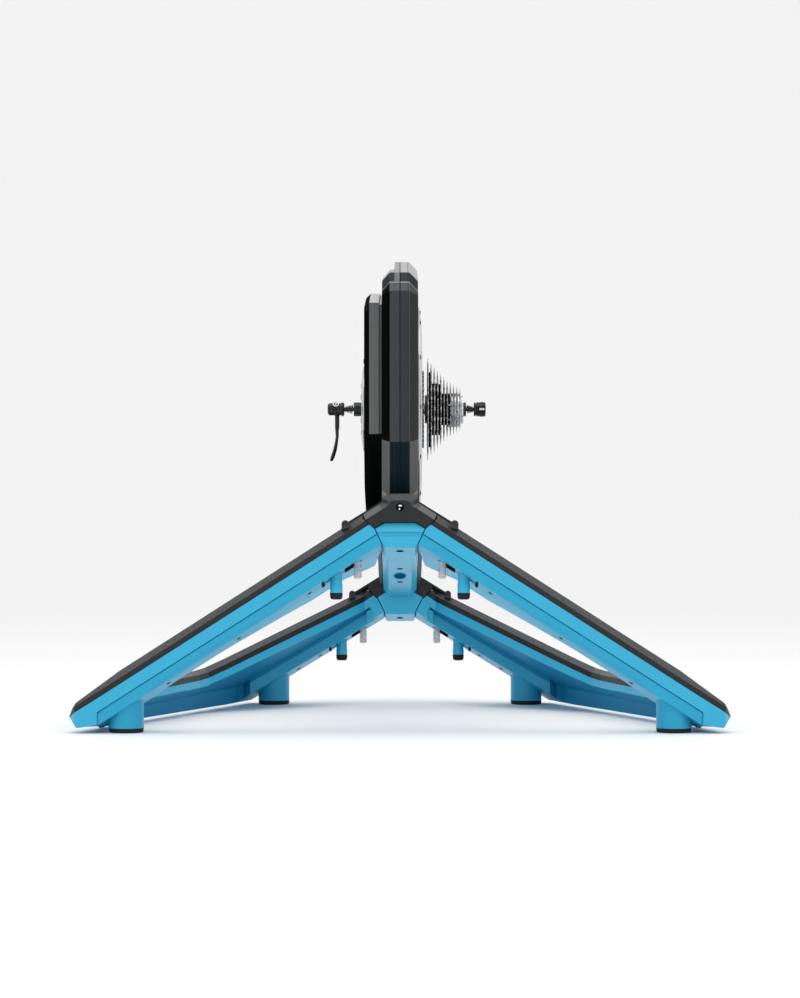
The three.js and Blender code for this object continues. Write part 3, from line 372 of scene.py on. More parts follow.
def offset(outline, distance):
    """An anticlockwise outline with every edge moved inwards."""
    moved = []
    for i, here in enumerate(outline):
        here = Vector(here)
        run_in = (here - Vector(outline[i - 1])).normalized()
        run_out = (Vector(outline[(i + 1) % len(outline)]) - here).normalized()
        first = Vector((-run_in.y, run_in.x))
        second = Vector((-run_out.y, run_out.x))
        moved.append(here + (first + second) * (distance / (1 + first.dot(second))))
    return moved


def anticlockwise(outline):
    area = sum(a[0] * b[1] - b[0] * a[1] for a, b in zip(outline[-1:] + outline, outline))
    return outline if area > 0 else outline[::-1]


def add_skin(work, rings, ends=True):
    """Adds a closed skin through rings of points in millimetres to a mesh being built."""
    rows = [[work.verts.new(Vector(p) * MM) for p in ring] for ring in rings]
    count = len(rows[0])
    faces = []
    for low, high in zip(rows, rows[1:] if ends else rows[1:] + rows[:1]):
        for i in range(count):
            j = (i + 1) % count
            faces.append(work.faces.new((low[i], low[j], high[j], high[i])))
    if ends:
        faces += [work.faces.new(rows[0][::-1]), work.faces.new(rows[-1])]
    bmesh.ops.recalc_face_normals(work, faces=faces)


def add_piece(name, work, body, choose, replaced=(), smooth=None):
    """Turns a built mesh into a piece that rides on a CAD body; choose names the paint of each face."""
    work.normal_update()
    used = []
    for face in work.faces:
        wanted = choose(face) if callable(choose) else choose
        if wanted not in used:
            used.append(wanted)
        face.material_index = used.index(wanted)
        face.smooth = smooth is not None
    mesh = bpy.data.meshes.new(name)
    work.to_mesh(mesh)
    work.free()
    for wanted in used:
        mesh.materials.append(paints[wanted])
    if smooth is not None:
        mesh.set_sharp_from_angle(angle=math.radians(smooth))
    made = bpy.data.objects.new(name, mesh)
    scene.collection.objects.link(made)
    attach(made, body)
    if replaced:
        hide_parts(*replaced)


def datum(y):
    return DATUM - PITCH * y


def beam_under(y):
    return BEAM_REAR + (BEAM_FRONT - BEAM_REAR) * (y + HUB_INNER) / (2 * HUB_INNER)


def side_rings(outline, steps, side):
    outline = anticlockwise(outline)
    return [[(side * x, p.x, p.y) for p in offset(outline, depth)] for x, depth in steps]


def body_paint(face):
    x, y, z = face.calc_center_median()
    nx, ny, nz = face.normal
    # Painted light: the fin's top is painted a lighter grey, as lit from above.
    if z > TOP_FROM and FIN_SIDES[0] < x < FIN_SIDES[1]:
        return "fin_lit_grey"
    # Painted light: the tops facing up are painted a lighter grey, as lit from above.
    if z > TOP_FROM and nz > 0.55:
        return "top_lit_grey"
    if z > 0.51 and ny < -0.8:
        return "body_black"
    # Painted highlight: the lower facet's side bevels are painted a lighter slate.
    if y < -0.2 and z < FOOT_BELOW and abs(x) > BEVEL_DARK_FROM and abs(nx) > 0.3:
        return "body_slate"
    # Painted shade: the faces turned down at the rear are painted dark teal.
    if nz < -0.25 and y < -0.2:
        return "body_deep"
    # Painted light and shade on the chamfers: a lighter slate band at the start of the right one as a
    # highlight, the rest darker as shade, and the left one below the top near black.
    if abs(x) > BEVEL_FROM and ny < -0.3:
        if x > 0:
            return "body_slate" if x < BEVEL_DARK_FROM else "body_edge"
        return "body_edge" if z > 0.5 else "body_night"
    return "body_black" if x < 0 else "body_ink"


def body_half(name, side, outlines, node):
    work = bmesh.new()
    for outline, steps in outlines:
        add_skin(work, side_rings(outline, steps, side))
    add_skin(work, [
        [(side * (x - shrink if x > SKIRT_OUTER else x), y, beam_under(y) + rise) for x, rise in SKIRT]
        for y, shrink in SKIRT_RUN
    ])
    add_piece(name, work, "frame", body_paint, (node,))


body_full = BODY_REAR + BODY_TOP + BODY_FRONT + BODY_UNDER
body_low = BODY_REAR + BODY_LOW_TOP + BODY_FRONT + BODY_UNDER
body_half("body_half_right", 1, [(body_full, RIGHT_STEPS)], "body_shell_right")
body_half("body_half_left", -1, [(body_low, LEFT_STEPS), (body_full, FIN_STEPS)], "body_shell_left")

seam = bmesh.new()
add_skin(seam, side_rings(body_full, GASKET_STEPS, 1))
add_piece("body_seam", seam, "frame", "body_night")

# Motor cover: a cast bump screwed to the body's left side, with bevelled edges and a groove where they meet.
# Its rear face is a greener grey than the body; its top is painted pale as painted light from above, and its
# lower slope and outer bevels are painted near black as painted shade.
BUMP_OUTLINE = [
    (-270.5, 338.0), (-270.5, 477.0), (-261.5, 486.0), (-49.5, 510.0), (53.5, 439.5), (53.5, 273.0),
    (-49.5, 240.5), (-211.5, 273.0), (-266.0, 329.0),
]
BUMP_STEPS = [(20.8, 2.2), (23.2, 2.2), (23.7, 0.2), (34.6, 0.0), (35.2, 0.4), (39.8, 4.8), (40.5, 6.2)]


def bump_paint(face):
    z = face.calc_center_median().z
    nx, ny, nz = face.normal
    if nx < -0.9:
        return "body_black"
    # Painted shade: the slopes turned down or out are near black.
    if nz < -0.3 or nx < -0.3:
        return "body_night"
    # Painted light: the top is painted pale, as lit from above.
    if nz > 0.9 and z > 0.47:
        return "body_pale"
    return "bump_grey" if nz < 0.3 else "body_black"


bump = bmesh.new()
add_skin(bump, side_rings(BUMP_OUTLINE, BUMP_STEPS, -1))
add_piece("motor_bump", bump, "frame", bump_paint, ("motor_cover",))

# Spine: one blue casting under the body, with a hub block at each end for the folding legs and an oval slot.
# Each hub's outer face has a bright upper band, a groove, and a narrower band that turns in to the underside.
HUB_BANDS = [
    (-16.5, 17.2, 1.6), (-15.6, 18.0, 0.7), (-4.4, 23.8, 0.2), (-3.9, 24.0, 1.6), (0.2, 26.0, 2.2),
    (0.8, 26.3, 0.0), (5.0, 28.3, 1.9), (11.6, 17.9, 5.2),
]
HUB_CORNER = 1.4
BEAM_SECTION = [
    (-13.6, 0.0), (13.6, 0.0), (14.5, 0.3), (20.6, 8.4), (21.0, 9.4), (21.0, 40.0), (-21.0, 40.0),
    (-21.0, 9.4), (-20.6, 8.4), (-14.5, 0.3),
]
BEAM_HALF = 226.0
SLOT_MIDDLE = 30.0
SLOT_LONG = 27.0
SLOT_WIDE = 7.5


def hub_block(work, way):
    rings = []
    for rise, half, back in HUB_BANDS:
        outer, inner = HUB_OUTER - back, HUB_INNER - 1
        plan = [
            (-half, inner), (half, inner), (half, outer - HUB_CORNER), (half - HUB_CORNER, outer),
            (HUB_CORNER - half, outer), (-half, outer - HUB_CORNER),
        ]
        rings.append([(x, way * y, datum(way * y) + rise) for x, y in plan])
    add_skin(work, rings)


spine = bmesh.new()
hub_block(spine, -1)
hub_block(spine, 1)
add_skin(spine, [[(x, y, beam_under(y) + rise) for x, rise in BEAM_SECTION] for y in (-BEAM_HALF, BEAM_HALF)])
add_piece("spine_casting", spine, "frame", "wing_blue", ("spine_frame",))

# Fittings under the spine: a dark sheet inside a raised lip of the casting, painted shade for the slot, and
# shallow round screw covers in a row. The covers are moulded plastic pressed into the casting.
SCREW_COVERS = [(-262.0, 4.4), (-30.0, 3.6), (86.0, 3.8), (256.0, 4.4)]
COVER_PROFILE = [(0.0, -0.6), (0.0, 0.25), (-0.5, 0.55), (-1.5, 0.6), (-1.8, 0.1)]
LIP_PROFILE = [(1.6, -0.5), (1.6, 0.4), (1.0, 0.8), (0.3, 0.8), (-0.2, 0.4), (-0.2, -0.5)]
SLOT_SHADE_PROFILE = [(0.1, -0.4), (0.1, 0.3), (-0.6, 0.35), (-1.0, 0.08)]


def under_spine(y):
    return datum(y) + HUB_BANDS[0][0] if abs(y) > HUB_INNER else beam_under(y)


def under_oval(work, long, wide, middle, profile, ends=True, sides=28):
    """Adds an oval fitting under the spine; profile is (growth, drop) pairs."""
    rings = []
    for grow, drop in profile:
        ring = []
        for i in range(sides):
            turn = 2 * math.pi * i / sides
            y = middle + (long + grow) * math.sin(turn)
            ring.append(((wide + grow) * math.cos(turn), y, under_spine(y) - drop))
        rings.append(ring)
    add_skin(work, rings, ends)


under = bmesh.new()
for y, radius in SCREW_COVERS:
    under_oval(under, radius, radius, y, COVER_PROFILE)
add_piece("spine_screw_covers", under, "frame", "body_night")
lip = bmesh.new()
under_oval(lip, SLOT_LONG, SLOT_WIDE, SLOT_MIDDLE, LIP_PROFILE, ends=False)
add_piece("spine_slot_lip", lip, "frame", "wing_blue")
# Painted shade: a dark sheet just inside the lip stands for the slot's depth.
slot_shade_sheet = bmesh.new()
under_oval(slot_shade_sheet, SLOT_LONG, SLOT_WIDE, SLOT_MIDDLE, SLOT_SHADE_PROFILE)
add_piece("spine_slot_lining", slot_shade_sheet, "frame", "slot_shade")

# Hub caps: black cast saddles over the hubs, bolted down to the spine from inside and carrying the body's
# foot. A broad bevel runs on from the legs' own top bevel into the body's edges.
CAP_UNDER = [(17.8, 12.0), (28.7, 5.3), (34.8, 10.7)]
CAP_STEPS = [
    (0.5, [(38.0, 13.9), (38.3, 14.4), (20.0, 25.8), (13.2, 29.6), (11.8, 33.0), (8.0, 36.0)]),
    (1.1, [(38.5, 14.4), (38.9, 15.0), (20.3, 26.6), (13.6, 30.4), (12.2, 33.8), (8.4, 36.9)]),
    (8.2, [(40.6, 16.6), (40.8, 21.2), (24.0, 31.7), (20.0, 34.2), (20.0, 40.2), (10.8, 44.6)]),
    (9.0, [(41.0, 17.0), (41.0, 21.8), (24.0, 32.4), (20.5, 34.5), (20.5, 40.8), (11.0, 45.0)]),
    (61.2, [(41.0, 17.0), (41.0, 21.8), (24.0, 32.4), (20.5, 34.5), (20.5, 40.8), (11.0, 45.0)]),
]


# Painted highlight: the bevels facing up on the wing side are painted a lighter grey.
def cap_paint(face):
    bevelled = face.normal.z > 0.3 and abs(face.normal.y) > 0.3
    return "cover_sheen" if bevelled and abs(face.calc_center_median().x) > 0.022 else "cover_black"


def hub_cap(name, way, node):
    work = bmesh.new()
    rings = []
    for back, upper in CAP_STEPS:
        half = CAP_UNDER + upper
        section = half + [(-x, rise) for x, rise in reversed(half)]
        y = way * (HUB_OUTER - back)
        rings.append([(x, y, datum(y) + rise) for x, rise in section])
    add_skin(work, rings)
    add_piece(name, work, "frame", cap_paint, (node,))


hub_cap("rear_saddle", -1, "rear_hub_cap")
hub_cap("front_saddle", 1, "front_hub_cap")

# Power socket: a dark ring pressed into the rear saddle, with a pin inside it and a small status lamp of
# clear plastic above the pin. Pin and lamp are painted near white, as painted highlights.
SOCKET_Z = 256.0


def turned(work, profile, middle, axis, sides=32, wide=1.0, ends=True):
    """Adds a turned solid: profile is (along the axis, radius), axis is x, y or z, and wide stretches it."""
    order = {"x": (0, 1, 2), "y": (1, 2, 0), "z": (2, 0, 1)}[axis]
    rings = []
    for along, radius in profile:
        ring = []
        for i in range(sides):
            turn = 2 * math.pi * i / sides
            place = [0, 0, 0]
            place[order[0]] = middle[order[0]] + along
            place[order[1]] = middle[order[1]] + radius * math.cos(turn)
            place[order[2]] = middle[order[2]] + radius * math.sin(turn) * wide
            ring.append(tuple(place))
        rings.append(ring)
    add_skin(work, rings, ends)


ring = bmesh.new()
turned(ring, [
    (0.45, 0.3), (0.45, 3.5), (0.1, 3.7), (0.0, 3.9), (0.0, 4.2), (0.2, 4.5), (4.0, 4.5),
], (0, -HUB_OUTER, SOCKET_Z), "y")
add_piece("socket_ring", ring, "frame", "body_night", ("power_inlet",), smooth=40)
pins = bmesh.new()
turned(pins, [(4.0, 1.2), (0.7, 1.2), (0.3, 0.9), (0.15, 0.3)], (-0.6, -HUB_OUTER, SOCKET_Z - 2.2), "y", 16)
turned(
    pins, [(4.0, 1.3), (0.7, 1.3), (0.2, 1.0), (0.05, 0.3)], (0.2, -HUB_OUTER, SOCKET_Z + 1.5), "y", 20, 1.8,
)
add_piece("socket_pins", pins, "frame", "glint_white", smooth=50)

# Repeated small parts: screws, vent bars and teeth are laid out by two shared node trees.
# One tree sets a part at even steps along a line and the other round a circle; each gives one plain mesh.
def parts_tree(name, ringed):
    tree = bpy.data.node_groups.new(name, "GeometryNodeTree")
    asked = [("Part", "Object"), ("Count", "Int"), ("Tilt", "Vector"), ("Finish", "Material")]
    places = [("Radius", "Float"), ("Centre", "Vector")], [("First", "Vector"), ("Last", "Vector")]
    asked += places[0] if ringed else places[1]
    for label, kind in asked:
        tree.interface.new_socket(label, in_out="INPUT", socket_type=f"NodeSocket{kind}")
    tree.interface.new_socket("Parts", in_out="OUTPUT", socket_type="NodeSocketGeometry")
    add, link = tree.nodes.new, tree.links.new
    given, result = add("NodeGroupInput"), add("NodeGroupOutput")
    part = add("GeometryNodeObjectInfo")
    link(given.outputs["Part"], part.inputs["Object"])
    turn = add("FunctionNodeEulerToRotation")
    set_out = add("GeometryNodeInstanceOnPoints")
    link(part.outputs["Geometry"], set_out.inputs["Instance"])
    link(turn.outputs["Rotation"], set_out.inputs["Rotation"])
    last = set_out
    if ringed:
        points = add("GeometryNodeMeshCircle")
        link(given.outputs["Count"], points.inputs["Vertices"])
        link(given.outputs["Radius"], points.inputs["Radius"])
        index = add("GeometryNodeInputIndex").outputs["Index"]
        share = sum_of(tree, "DIVIDE", index, given.outputs["Count"])
        about = fed(tree, "ShaderNodeCombineXYZ", Z=sum_of(tree, "MULTIPLY", share, 2 * math.pi))
        link(about.outputs["Vector"], turn.inputs["Euler"])
        last = add("GeometryNodeTransform")
        link(set_out.outputs["Instances"], last.inputs["Geometry"])
        link(given.outputs["Centre"], last.inputs["Translation"])
        link(given.outputs["Tilt"], last.inputs["Rotation"])
    else:
        points = add("GeometryNodeMeshLine")
        points.mode = "END_POINTS"
        link(given.outputs["Count"], points.inputs["Count"])
        link(given.outputs["First"], points.inputs["Start Location"])
        link(given.outputs["Last"], points.inputs["Offset"])
        link(given.outputs["Tilt"], turn.inputs["Euler"])
    link(points.outputs["Mesh"], set_out.inputs["Points"])
    real = add("GeometryNodeRealizeInstances")
    painted = add("GeometryNodeSetMaterial")
    link(last.outputs[0], real.inputs["Geometry"])
    link(real.outputs["Geometry"], painted.inputs["Geometry"])
    link(given.outputs["Finish"], painted.inputs["Material"])
    link(painted.outputs["Geometry"], result.inputs["Parts"])
    return tree


line_of_parts = parts_tree("line_of_parts", False)
ring_of_parts = parts_tree("ring_of_parts", True)


def loose(name, build):
    """A small part by itself, to be repeated and then thrown away."""
    work = bmesh.new()
    build(work)
    mesh = bpy.data.meshes.new(name)
    work.to_mesh(mesh)
    work.free()
    part = bpy.data.objects.new(name, mesh)
    scene.collection.objects.link(part)
    return part


def laid_out(tree, part, **values):
    """The evaluated copies of a part, as a plain mesh."""
    carrier = bpy.data.objects.new("carrier", bpy.data.meshes.new("carrier"))
    scene.collection.objects.link(carrier)
    layer = carrier.modifiers.new("parts", "NODES")
    layer.node_group = tree
    values["Part"] = part
    for item in tree.interface.items_tree:
        if item.in_out == "INPUT":
            layer[item.identifier] = values[item.name]
    bpy.context.view_layer.update()
    seen = carrier.evaluated_get(bpy.context.evaluated_depsgraph_get())
    mesh = bpy.data.meshes.new_from_object(seen)
    carrier.modifiers.remove(layer)
    bpy.data.objects.remove(carrier)
    return mesh


def repeated(name, body, finish, part, rows, smooth=40):
    """One piece from several rows or rings of the same part."""
    work = bmesh.new()
    for tree, values in rows:
        mesh = laid_out(tree, part, Finish=paints[finish], **values)
        work.from_mesh(mesh)
        bpy.data.meshes.remove(mesh)
    old = part.data
    bpy.data.objects.remove(part)
    bpy.data.meshes.remove(old)
    bmesh.ops.recalc_face_normals(work, faces=work.faces)
    add_piece(name, work, body, finish, smooth=smooth)


def along_line(first, last, count, tilt):
    """Values for parts in a straight row between two places in millimetres."""
    ends = {"First": [v * MM for v in first], "Last": [v * MM for v in last]}
    return line_of_parts, {"Count": count, "Tilt": tilt, **ends}


def screw_head(work, radius=2.6, rise=0.9, socket=1.3):
    turned(work, [
        (-0.4, radius), (rise * 0.55, radius), (rise, radius * 0.78), (rise, socket),
        (rise * 0.2, socket * 0.96),
    ], (0, 0, 0), "z", 18)

# Legs: each folding leg is a blue casting hinged at the spine's hubs, with a black cover on top and two steel
# rails below. Small screws hold the rails, and each foot tube has a rolled collar above its pad.
WING_DROP = 0.618
RAIL_MIDDLE = 21
RAIL_ROOT = {"rear": (17.8, -287.5), "front": (17.8, 287.5)}
RAIL_TIP = {"rear": (330.0, -251.0), "front": (186.0, 284.5)}
RAIL_SCREWS = {"rear": (102.0, 262.0, 3), "front": (103.0, 131.0, 2)}
FEET = {"rear": (311.0, -226.5), "front": (163.0, 263.5)}
FOOT_RADIUS = 19.9
COLLAR = [(5.1, -0.6), (5.1, 0.1), (5.7, 0.4), (6.5, 0.1), (6.5, -0.6)]
SIDES = {"left": -1, "right": 1}


def wing_under(x, y):
    return datum(y) - WING_DROP * abs(x)


def rail_line(way, x, into):
    root, tip = RAIL_ROOT[way], RAIL_TIP[way]
    slope = (tip[1] - root[1]) / (tip[0] - root[0])
    return root[1] + slope * (x - root[0]) + (into if way == "rear" else -into)


for side_name, side in SIDES.items():
    wing = f"wing_{side_name}"
    rows = []
    for way, (near, far, count) in RAIL_SCREWS.items():
        ends = []
        for x in (near, far):
            y = rail_line(way, x, RAIL_MIDDLE)
            ends.append((side * x, y, wing_under(x, y) + 0.05))
        tilt = (math.pi + math.atan(-PITCH), math.atan(side * WING_DROP), 0)
        rows.append(along_line(*ends, count, tilt))
    repeated(
        f"rail_screws_{side_name}", wing, "dark_steel", loose("rail_screw", screw_head), rows,
    )
    collars = bmesh.new()
    for way, (x, y) in FEET.items():
        turned(collars, [(z, FOOT_RADIUS + grow) for z, grow in COLLAR], (side * x, y, 0), "z", 48)
    add_piece(f"foot_collars_{side_name}", collars, wing, "rail_blue", smooth=50)

# Undersides of the legs: behind the front rail and along the outer side the casting is a shallow plate, and
# the front rail stands out below it. The rear rail's edges are rounded and the outer tip's is cut away.
# These are the CAD's own legs and rails with the hollow and the edges taken out of them.
HOLLOW = [
    (32.0, 247.0, 18.5), (92.0, 246.5, 18.5), (142.0, 238.0, 18.5), (192.0, 224.0, 18.5),
    (200.0, 233.0, 18.5), (206.5, 229.0, 19.0), (235.0, 150.0, 21.0), (265.5, 62.0, 22.0),
    (322.0, -100.0, 22.0), (339.0, -150.0, 22.0), (314.0, -150.0, 22.0), (242.5, 58.0, 22.0),
    (232.0, 80.0, 21.0), (210.0, 99.0, 20.0), (60.0, 222.0, 18.5), (30.0, 243.0, 18.5),
]
HOLLOW_BELOW = -30.0
TIP_SECTION = [(377.0, -6.0), (377.0, 20.8), (375.0, 19.1), (365.5, 6.2), (332.0, 10.8), (332.0, -6.0)]
TIP_RUN = [(-262.0, 0.0, 1.0), (-230.0, 0.0, 1.0), (-190.0, -13.9, 0.6), (-156.0, -25.7, 0.1)]
REAR_ROUNDING = [(106.0, 0.4), (125.0, 3.0), (190.0, 8.0), (264.0, 8.0), (288.0, 0.6)]
REAR_UPPER_EDGE = [(0.0, 13.2), (1.0, 13.2), (1.5, 14.2), (2.6, 14.75), (2.6, 15.5), (0.0, 15.5)]
REAR_UPPER_RUN = (10.0, 350.0)


def hollowed(node, paint, cutter):
    """A painted copy of a CAD node with the cutter's shape taken out; the cut has the cutter's paint."""
    source = bpy.data.objects[node]
    mesh = source.data.copy()
    mesh.transform(source.matrix_world)
    made = bpy.data.objects.new(f"{node}_hollowed", mesh)
    scene.collection.objects.link(made)
    mesh.materials.clear()
    mesh.materials.append(paints[paint])
    taken = made.modifiers.new("hollow", "BOOLEAN")
    taken.operation = "DIFFERENCE"
    taken.solver = "EXACT"
    taken.material_mode = "TRANSFER"
    taken.object = cutter
    bpy.context.view_layer.update()
    cut_mesh = bpy.data.meshes.new_from_object(made.evaluated_get(bpy.context.evaluated_depsgraph_get()))
    made.modifiers.clear()
    made.data = cut_mesh
    return made


def hollow_block(work):
    low = [(side * x, y, wing_under(x, y) + HOLLOW_BELOW) for x, y, rise in HOLLOW]
    high = [(side * x, y, wing_under(x, y) + rise) for x, y, rise in HOLLOW]
    add_skin(work, [low, high])
    add_skin(work, [
        [(side * (x + shift), y, z * share) for x, z in TIP_SECTION] for y, shift, share in TIP_RUN
    ])
    bmesh.ops.recalc_face_normals(work, faces=work.faces)


def along_rear_rail(section, x):
    ring = []
    for into, rise in section:
        y = rail_line("rear", x, into)
        ring.append((side * x, y, wing_under(x, y) + rise))
    return ring


def edge_blocks(work):
    rings = []
    for x, radius in REAR_ROUNDING:
        section = [(0.0, -2.0), (0.0, radius)]
        for step in range(9):
            turn = math.radians(90 * step / 8)
            section.append((1.0 + 1.7 * radius * (1 - math.cos(turn)), radius * (1 - math.sin(turn))))
        section.append((section[-1][0], -2.0))
        rings.append(along_rear_rail(section, x))
    add_skin(work, rings)
    add_skin(work, [along_rear_rail(REAR_UPPER_EDGE, x) for x in REAR_UPPER_RUN])
    bmesh.ops.recalc_face_normals(work, faces=work.faces)


for side_name, side in SIDES.items():
    hollow = loose("hollow_cutter", hollow_block)
    edges = loose("edge_cutter", edge_blocks)
    for node, paint, cutter in (
        (f"wing_shell_{side_name}", "wing_blue", hollow),
        (f"rail_front_{side_name}", "rail_blue", hollow),
        (f"rail_rear_{side_name}", "rail_blue", edges),
    ):
        # Painted shade: the shell's cut faces inside the hollow get the darker blue.
        cutter.data.materials.clear()
        cutter.data.materials.append(paints["hollow_shade_blue" if paint == "wing_blue" else paint])
        made = hollowed(node, paint, cutter)
        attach(made, f"wing_{side_name}")
        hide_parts(node)
    bpy.data.objects.remove(hollow)
    bpy.data.objects.remove(edges)

# Window and slide slots under the rails, by the hubs: openings where the fold locks' latches and posts run.
# Each is drawn as a shallow black plate, painted shade for the opening, with a raised blue rim.
WINDOW = (51.5, 62.0, 13.0)
SLOT_CORNER = 1.6
SLIDE = {"rear": (84.8, 87.8, 18.0), "front": (88.4, 91.4, 18.0)}


def under_plate(work, side, way, near, far, half, grow, levels):
    """Adds a round-cornered plate under a rail; levels are (inset, drop) pairs."""
    rings = []
    for inset, drop in levels:
        reach = grow - inset - SLOT_CORNER
        ring = []
        for cx, cy, start in ((far, half, 0), (near, half, 90), (near, -half, 180), (far, -half, 270)):
            for step in range(4):
                turn = math.radians(start + 30 * step)
                x = cx + reach * (1 if cx == far else -1) + SLOT_CORNER * math.cos(turn)
                v = cy + reach * (1 if cy > 0 else -1) + SLOT_CORNER * math.sin(turn)
                y = rail_line(way, x, RAIL_MIDDLE) + v
                ring.append((side * x, y, wing_under(x, y) - drop))
        rings.append(ring)
    add_skin(work, rings)


for side_name, side in SIDES.items():
    wing = f"wing_{side_name}"
    shade_plates = bmesh.new()
    rims = bmesh.new()
    for way, (near, far, half) in SLIDE.items():
        for a, b, c in ((near, far, half), WINDOW):
            under_plate(shade_plates, side, way, a, b, c, 0, ((0, -0.8), (0, 0.45), (0.4, 0.6)))
            under_plate(rims, side, way, a, b, c, 0.5, ((0, -0.5), (0, 0.15), (0.3, 0.35)))
    add_piece(f"slot_inserts_{side_name}", shade_plates, wing, "body_night")
    add_piece(f"slot_rims_{side_name}", rims, wing, "rail_blue")

# Fold locks: blue sliding posts with a rounded rubber tip, and beside each a ribbed roller of clear plastic.
# The posts stand in the rails' slots and the rollers are pressed up into the rails.
# A shallow web of the leg's casting stiffens the root of each rear arm.
LOCK_X = {"rear": 71.7, "front": 75.3}
LOCK_FALL = {"rear": 26.5, "front": 23.6}
CATCH_X = 47.5
CATCH_FALL = 18.5
CATCH_RIBS = 7
WEB = [
    (30.0, -178.0), (34.0, -171.0), (64.0, -203.0), (99.0, -196.0), (135.0, -209.0), (188.0, -222.0),
    (160.0, -240.0), (75.0, -240.0),
]

for side_name, side in SIDES.items():
    wing = f"wing_{side_name}"
    rollers = bmesh.new()
    for way, x in LOCK_X.items():
        spot = f"{way}_{side_name}"
        y = rail_line(way, x, RAIL_MIDDLE)
        under, foot = wing_under(x, y), wing_under(x, y) - LOCK_FALL[way]
        post = bmesh.new()
        turned(post, [
            (foot + 7.6, 6.9), (foot + 8.2, 7.1), (under - 9.5, 7.1), (under - 8.6, 6.7), (under + 6.0, 6.7),
        ], (side * x, y, 0), "z", 36)
        add_piece(
            f"lock_body_{spot}", post, f"lock_{spot}", "wing_blue", (f"lock_post_{spot}",),
            smooth=40,
        )
        tip = bmesh.new()
        turned(tip, [
            (foot, 3.2), (foot + 0.15, 5.0), (foot + 1.0, 6.3), (foot + 2.4, 6.9), (foot + 5.6, 7.2),
            (foot + 7.0, 7.2), (foot + 7.6, 6.9), (foot + 7.6, 3.2),
        ], (side * x, y, 0), "z", 36)
        add_piece(
            f"lock_pad_{spot}", tip, f"lock_{spot}", "rubber", (f"lock_tip_{spot}",), smooth=50,
        )
        y = rail_line(way, CATCH_X, RAIL_MIDDLE)
        low = wing_under(CATCH_X, y) - CATCH_FALL
        profile = [(low, 2.2), (low + 0.3, 3.4)]
        for rib in range(CATCH_RIBS):
            rise = low + 1.0 + 2.1 * rib
            profile += [(rise, 4.1), (rise + 0.5, 4.9), (rise + 1.1, 4.9), (rise + 1.6, 4.1)]
        profile += [(low + 20.0, 4.1)]
        turned(rollers, profile, (side * CATCH_X, y, 0), "z", 28)
    catches = [f"lock_catch_{way}_{side_name}" for way in LOCK_X]
    add_piece(
        f"catch_rollers_{side_name}", rollers, wing, "clear_white", catches, smooth=35,
    )
    web = bmesh.new()
    add_skin(web, [[(side * x, y, wing_under(x, y) + rise) for x, y in WEB] for rise in (0.1, 4.0)])
    add_piece(f"arm_web_{side_name}", web, wing, "wing_blue")

# Skewer: the quick release through the hollow axle. Its barrel, lever, nut and springs are black oxide steel.
# A bright ring marks the pivot's end on the barrel. The nut screws onto the rod, and is grooved and knurled
# for the fingers. On its side a black plate is painted shade for a slot, with a bright steel bar on it as a
# painted highlight.
AXLE = (0.0, -152.5, 369.0)
BARREL = (-74.2, *AXLE[1:])
PIVOT = (-75.5, *AXLE[1:])
PIVOT_TURN = -43
SPRINGS = {"left": (-53.8, -64.2, 5.2), "right": (76.8, 85.0, 4.8)}
LEVER = [
    (-74.2, 366.0, 2.9, 3.6), (-72.9, 361.3, 2.7, 3.6), (-72.9, 348.0, 2.6, 3.6), (-73.0, 344.0, 2.1, 4.0),
    (-72.9, 336.9, 1.85, 5.0), (-74.1, 328.8, 2.0, 6.0), (-75.6, 321.8, 2.4, 6.6), (-77.7, 314.9, 2.5, 6.2),
    (-79.2, 310.4, 2.1, 4.4), (-79.7, 308.6, 1.0, 3.0),
]
for name in ("skewer_barrel", "skewer_rod", "end_cap_left", "end_cap_right"):
    bpy.data.objects[name].data.materials[0] = paints["dark_steel"]

lever = bmesh.new()
rings = []
for x, z, thick, wide in LEVER:
    turns = [math.pi * i / 8 for i in range(16)]
    rings.append([(x + thick * math.cos(turn), AXLE[1] + wide * math.sin(turn), z) for turn in turns])
add_skin(lever, rings)
turned(lever, [(-4.0, 4.8), (-3.8, 5.3), (3.8, 5.3), (4.0, 4.8)], PIVOT, "y", 32)
for way in (-1, 1):
    turned(lever, [(way * 3.9, 2.0), (way * 8.0, 2.0), (way * 8.3, 1.7)], PIVOT, "y", 20)
add_piece("lever_arm", lever, "skewer_lever", "dark_steel", ("skewer_lever",), smooth=45)


def coil(work, start, end, wide, narrow=3.1, wire=0.5, turns=5, steps=18):
    """Adds a conical spring round the rod, wide at the axle's end."""
    rings = []
    for i in range(turns * steps + 1):
        share = i / (turns * steps)
        turn = 2 * math.pi * turns * share
        reach = wide + (narrow - wide) * share
        along = start + (end - start) * (0.08 + 0.84 * share)
        ring = []
        for side in range(6):
            lean = math.pi * side / 3
            out = reach + wire * math.cos(lean)
            x = along + wire * math.sin(lean)
            ring.append((x, AXLE[1] + out * math.cos(turn), AXLE[2] + out * math.sin(turn)))
        rings.append(ring)
    add_skin(work, rings)


for name, (start, end, wide) in SPRINGS.items():
    work = bmesh.new()
    coil(work, start, end, wide)
    add_piece(f"spring_coil_{name}", work, "skewer", "dark_steel", (f"spring_{name}",), smooth=60)

ring = bmesh.new()
turned(ring, [
    (-8.0, 2.5), (-8.75, 2.5), (-8.9, 2.7), (-8.9, 3.4), (-8.7, 3.7), (-7.2, 3.7), (-7.2, 2.5),
], BARREL, "y", 28)
turned(ring, [(-8.6, 0.1), (-8.6, 0.9), (-7.8, 1.1), (-7.0, 1.1)], BARREL, "y", 14)
bmesh.ops.rotate(
    ring, verts=ring.verts, cent=Vector(AXLE) * MM, matrix=Matrix.Rotation(math.radians(PIVOT_TURN), 3, "X"),
)
add_piece("lever_pivot_ring", ring, "skewer", "steel", smooth=40)

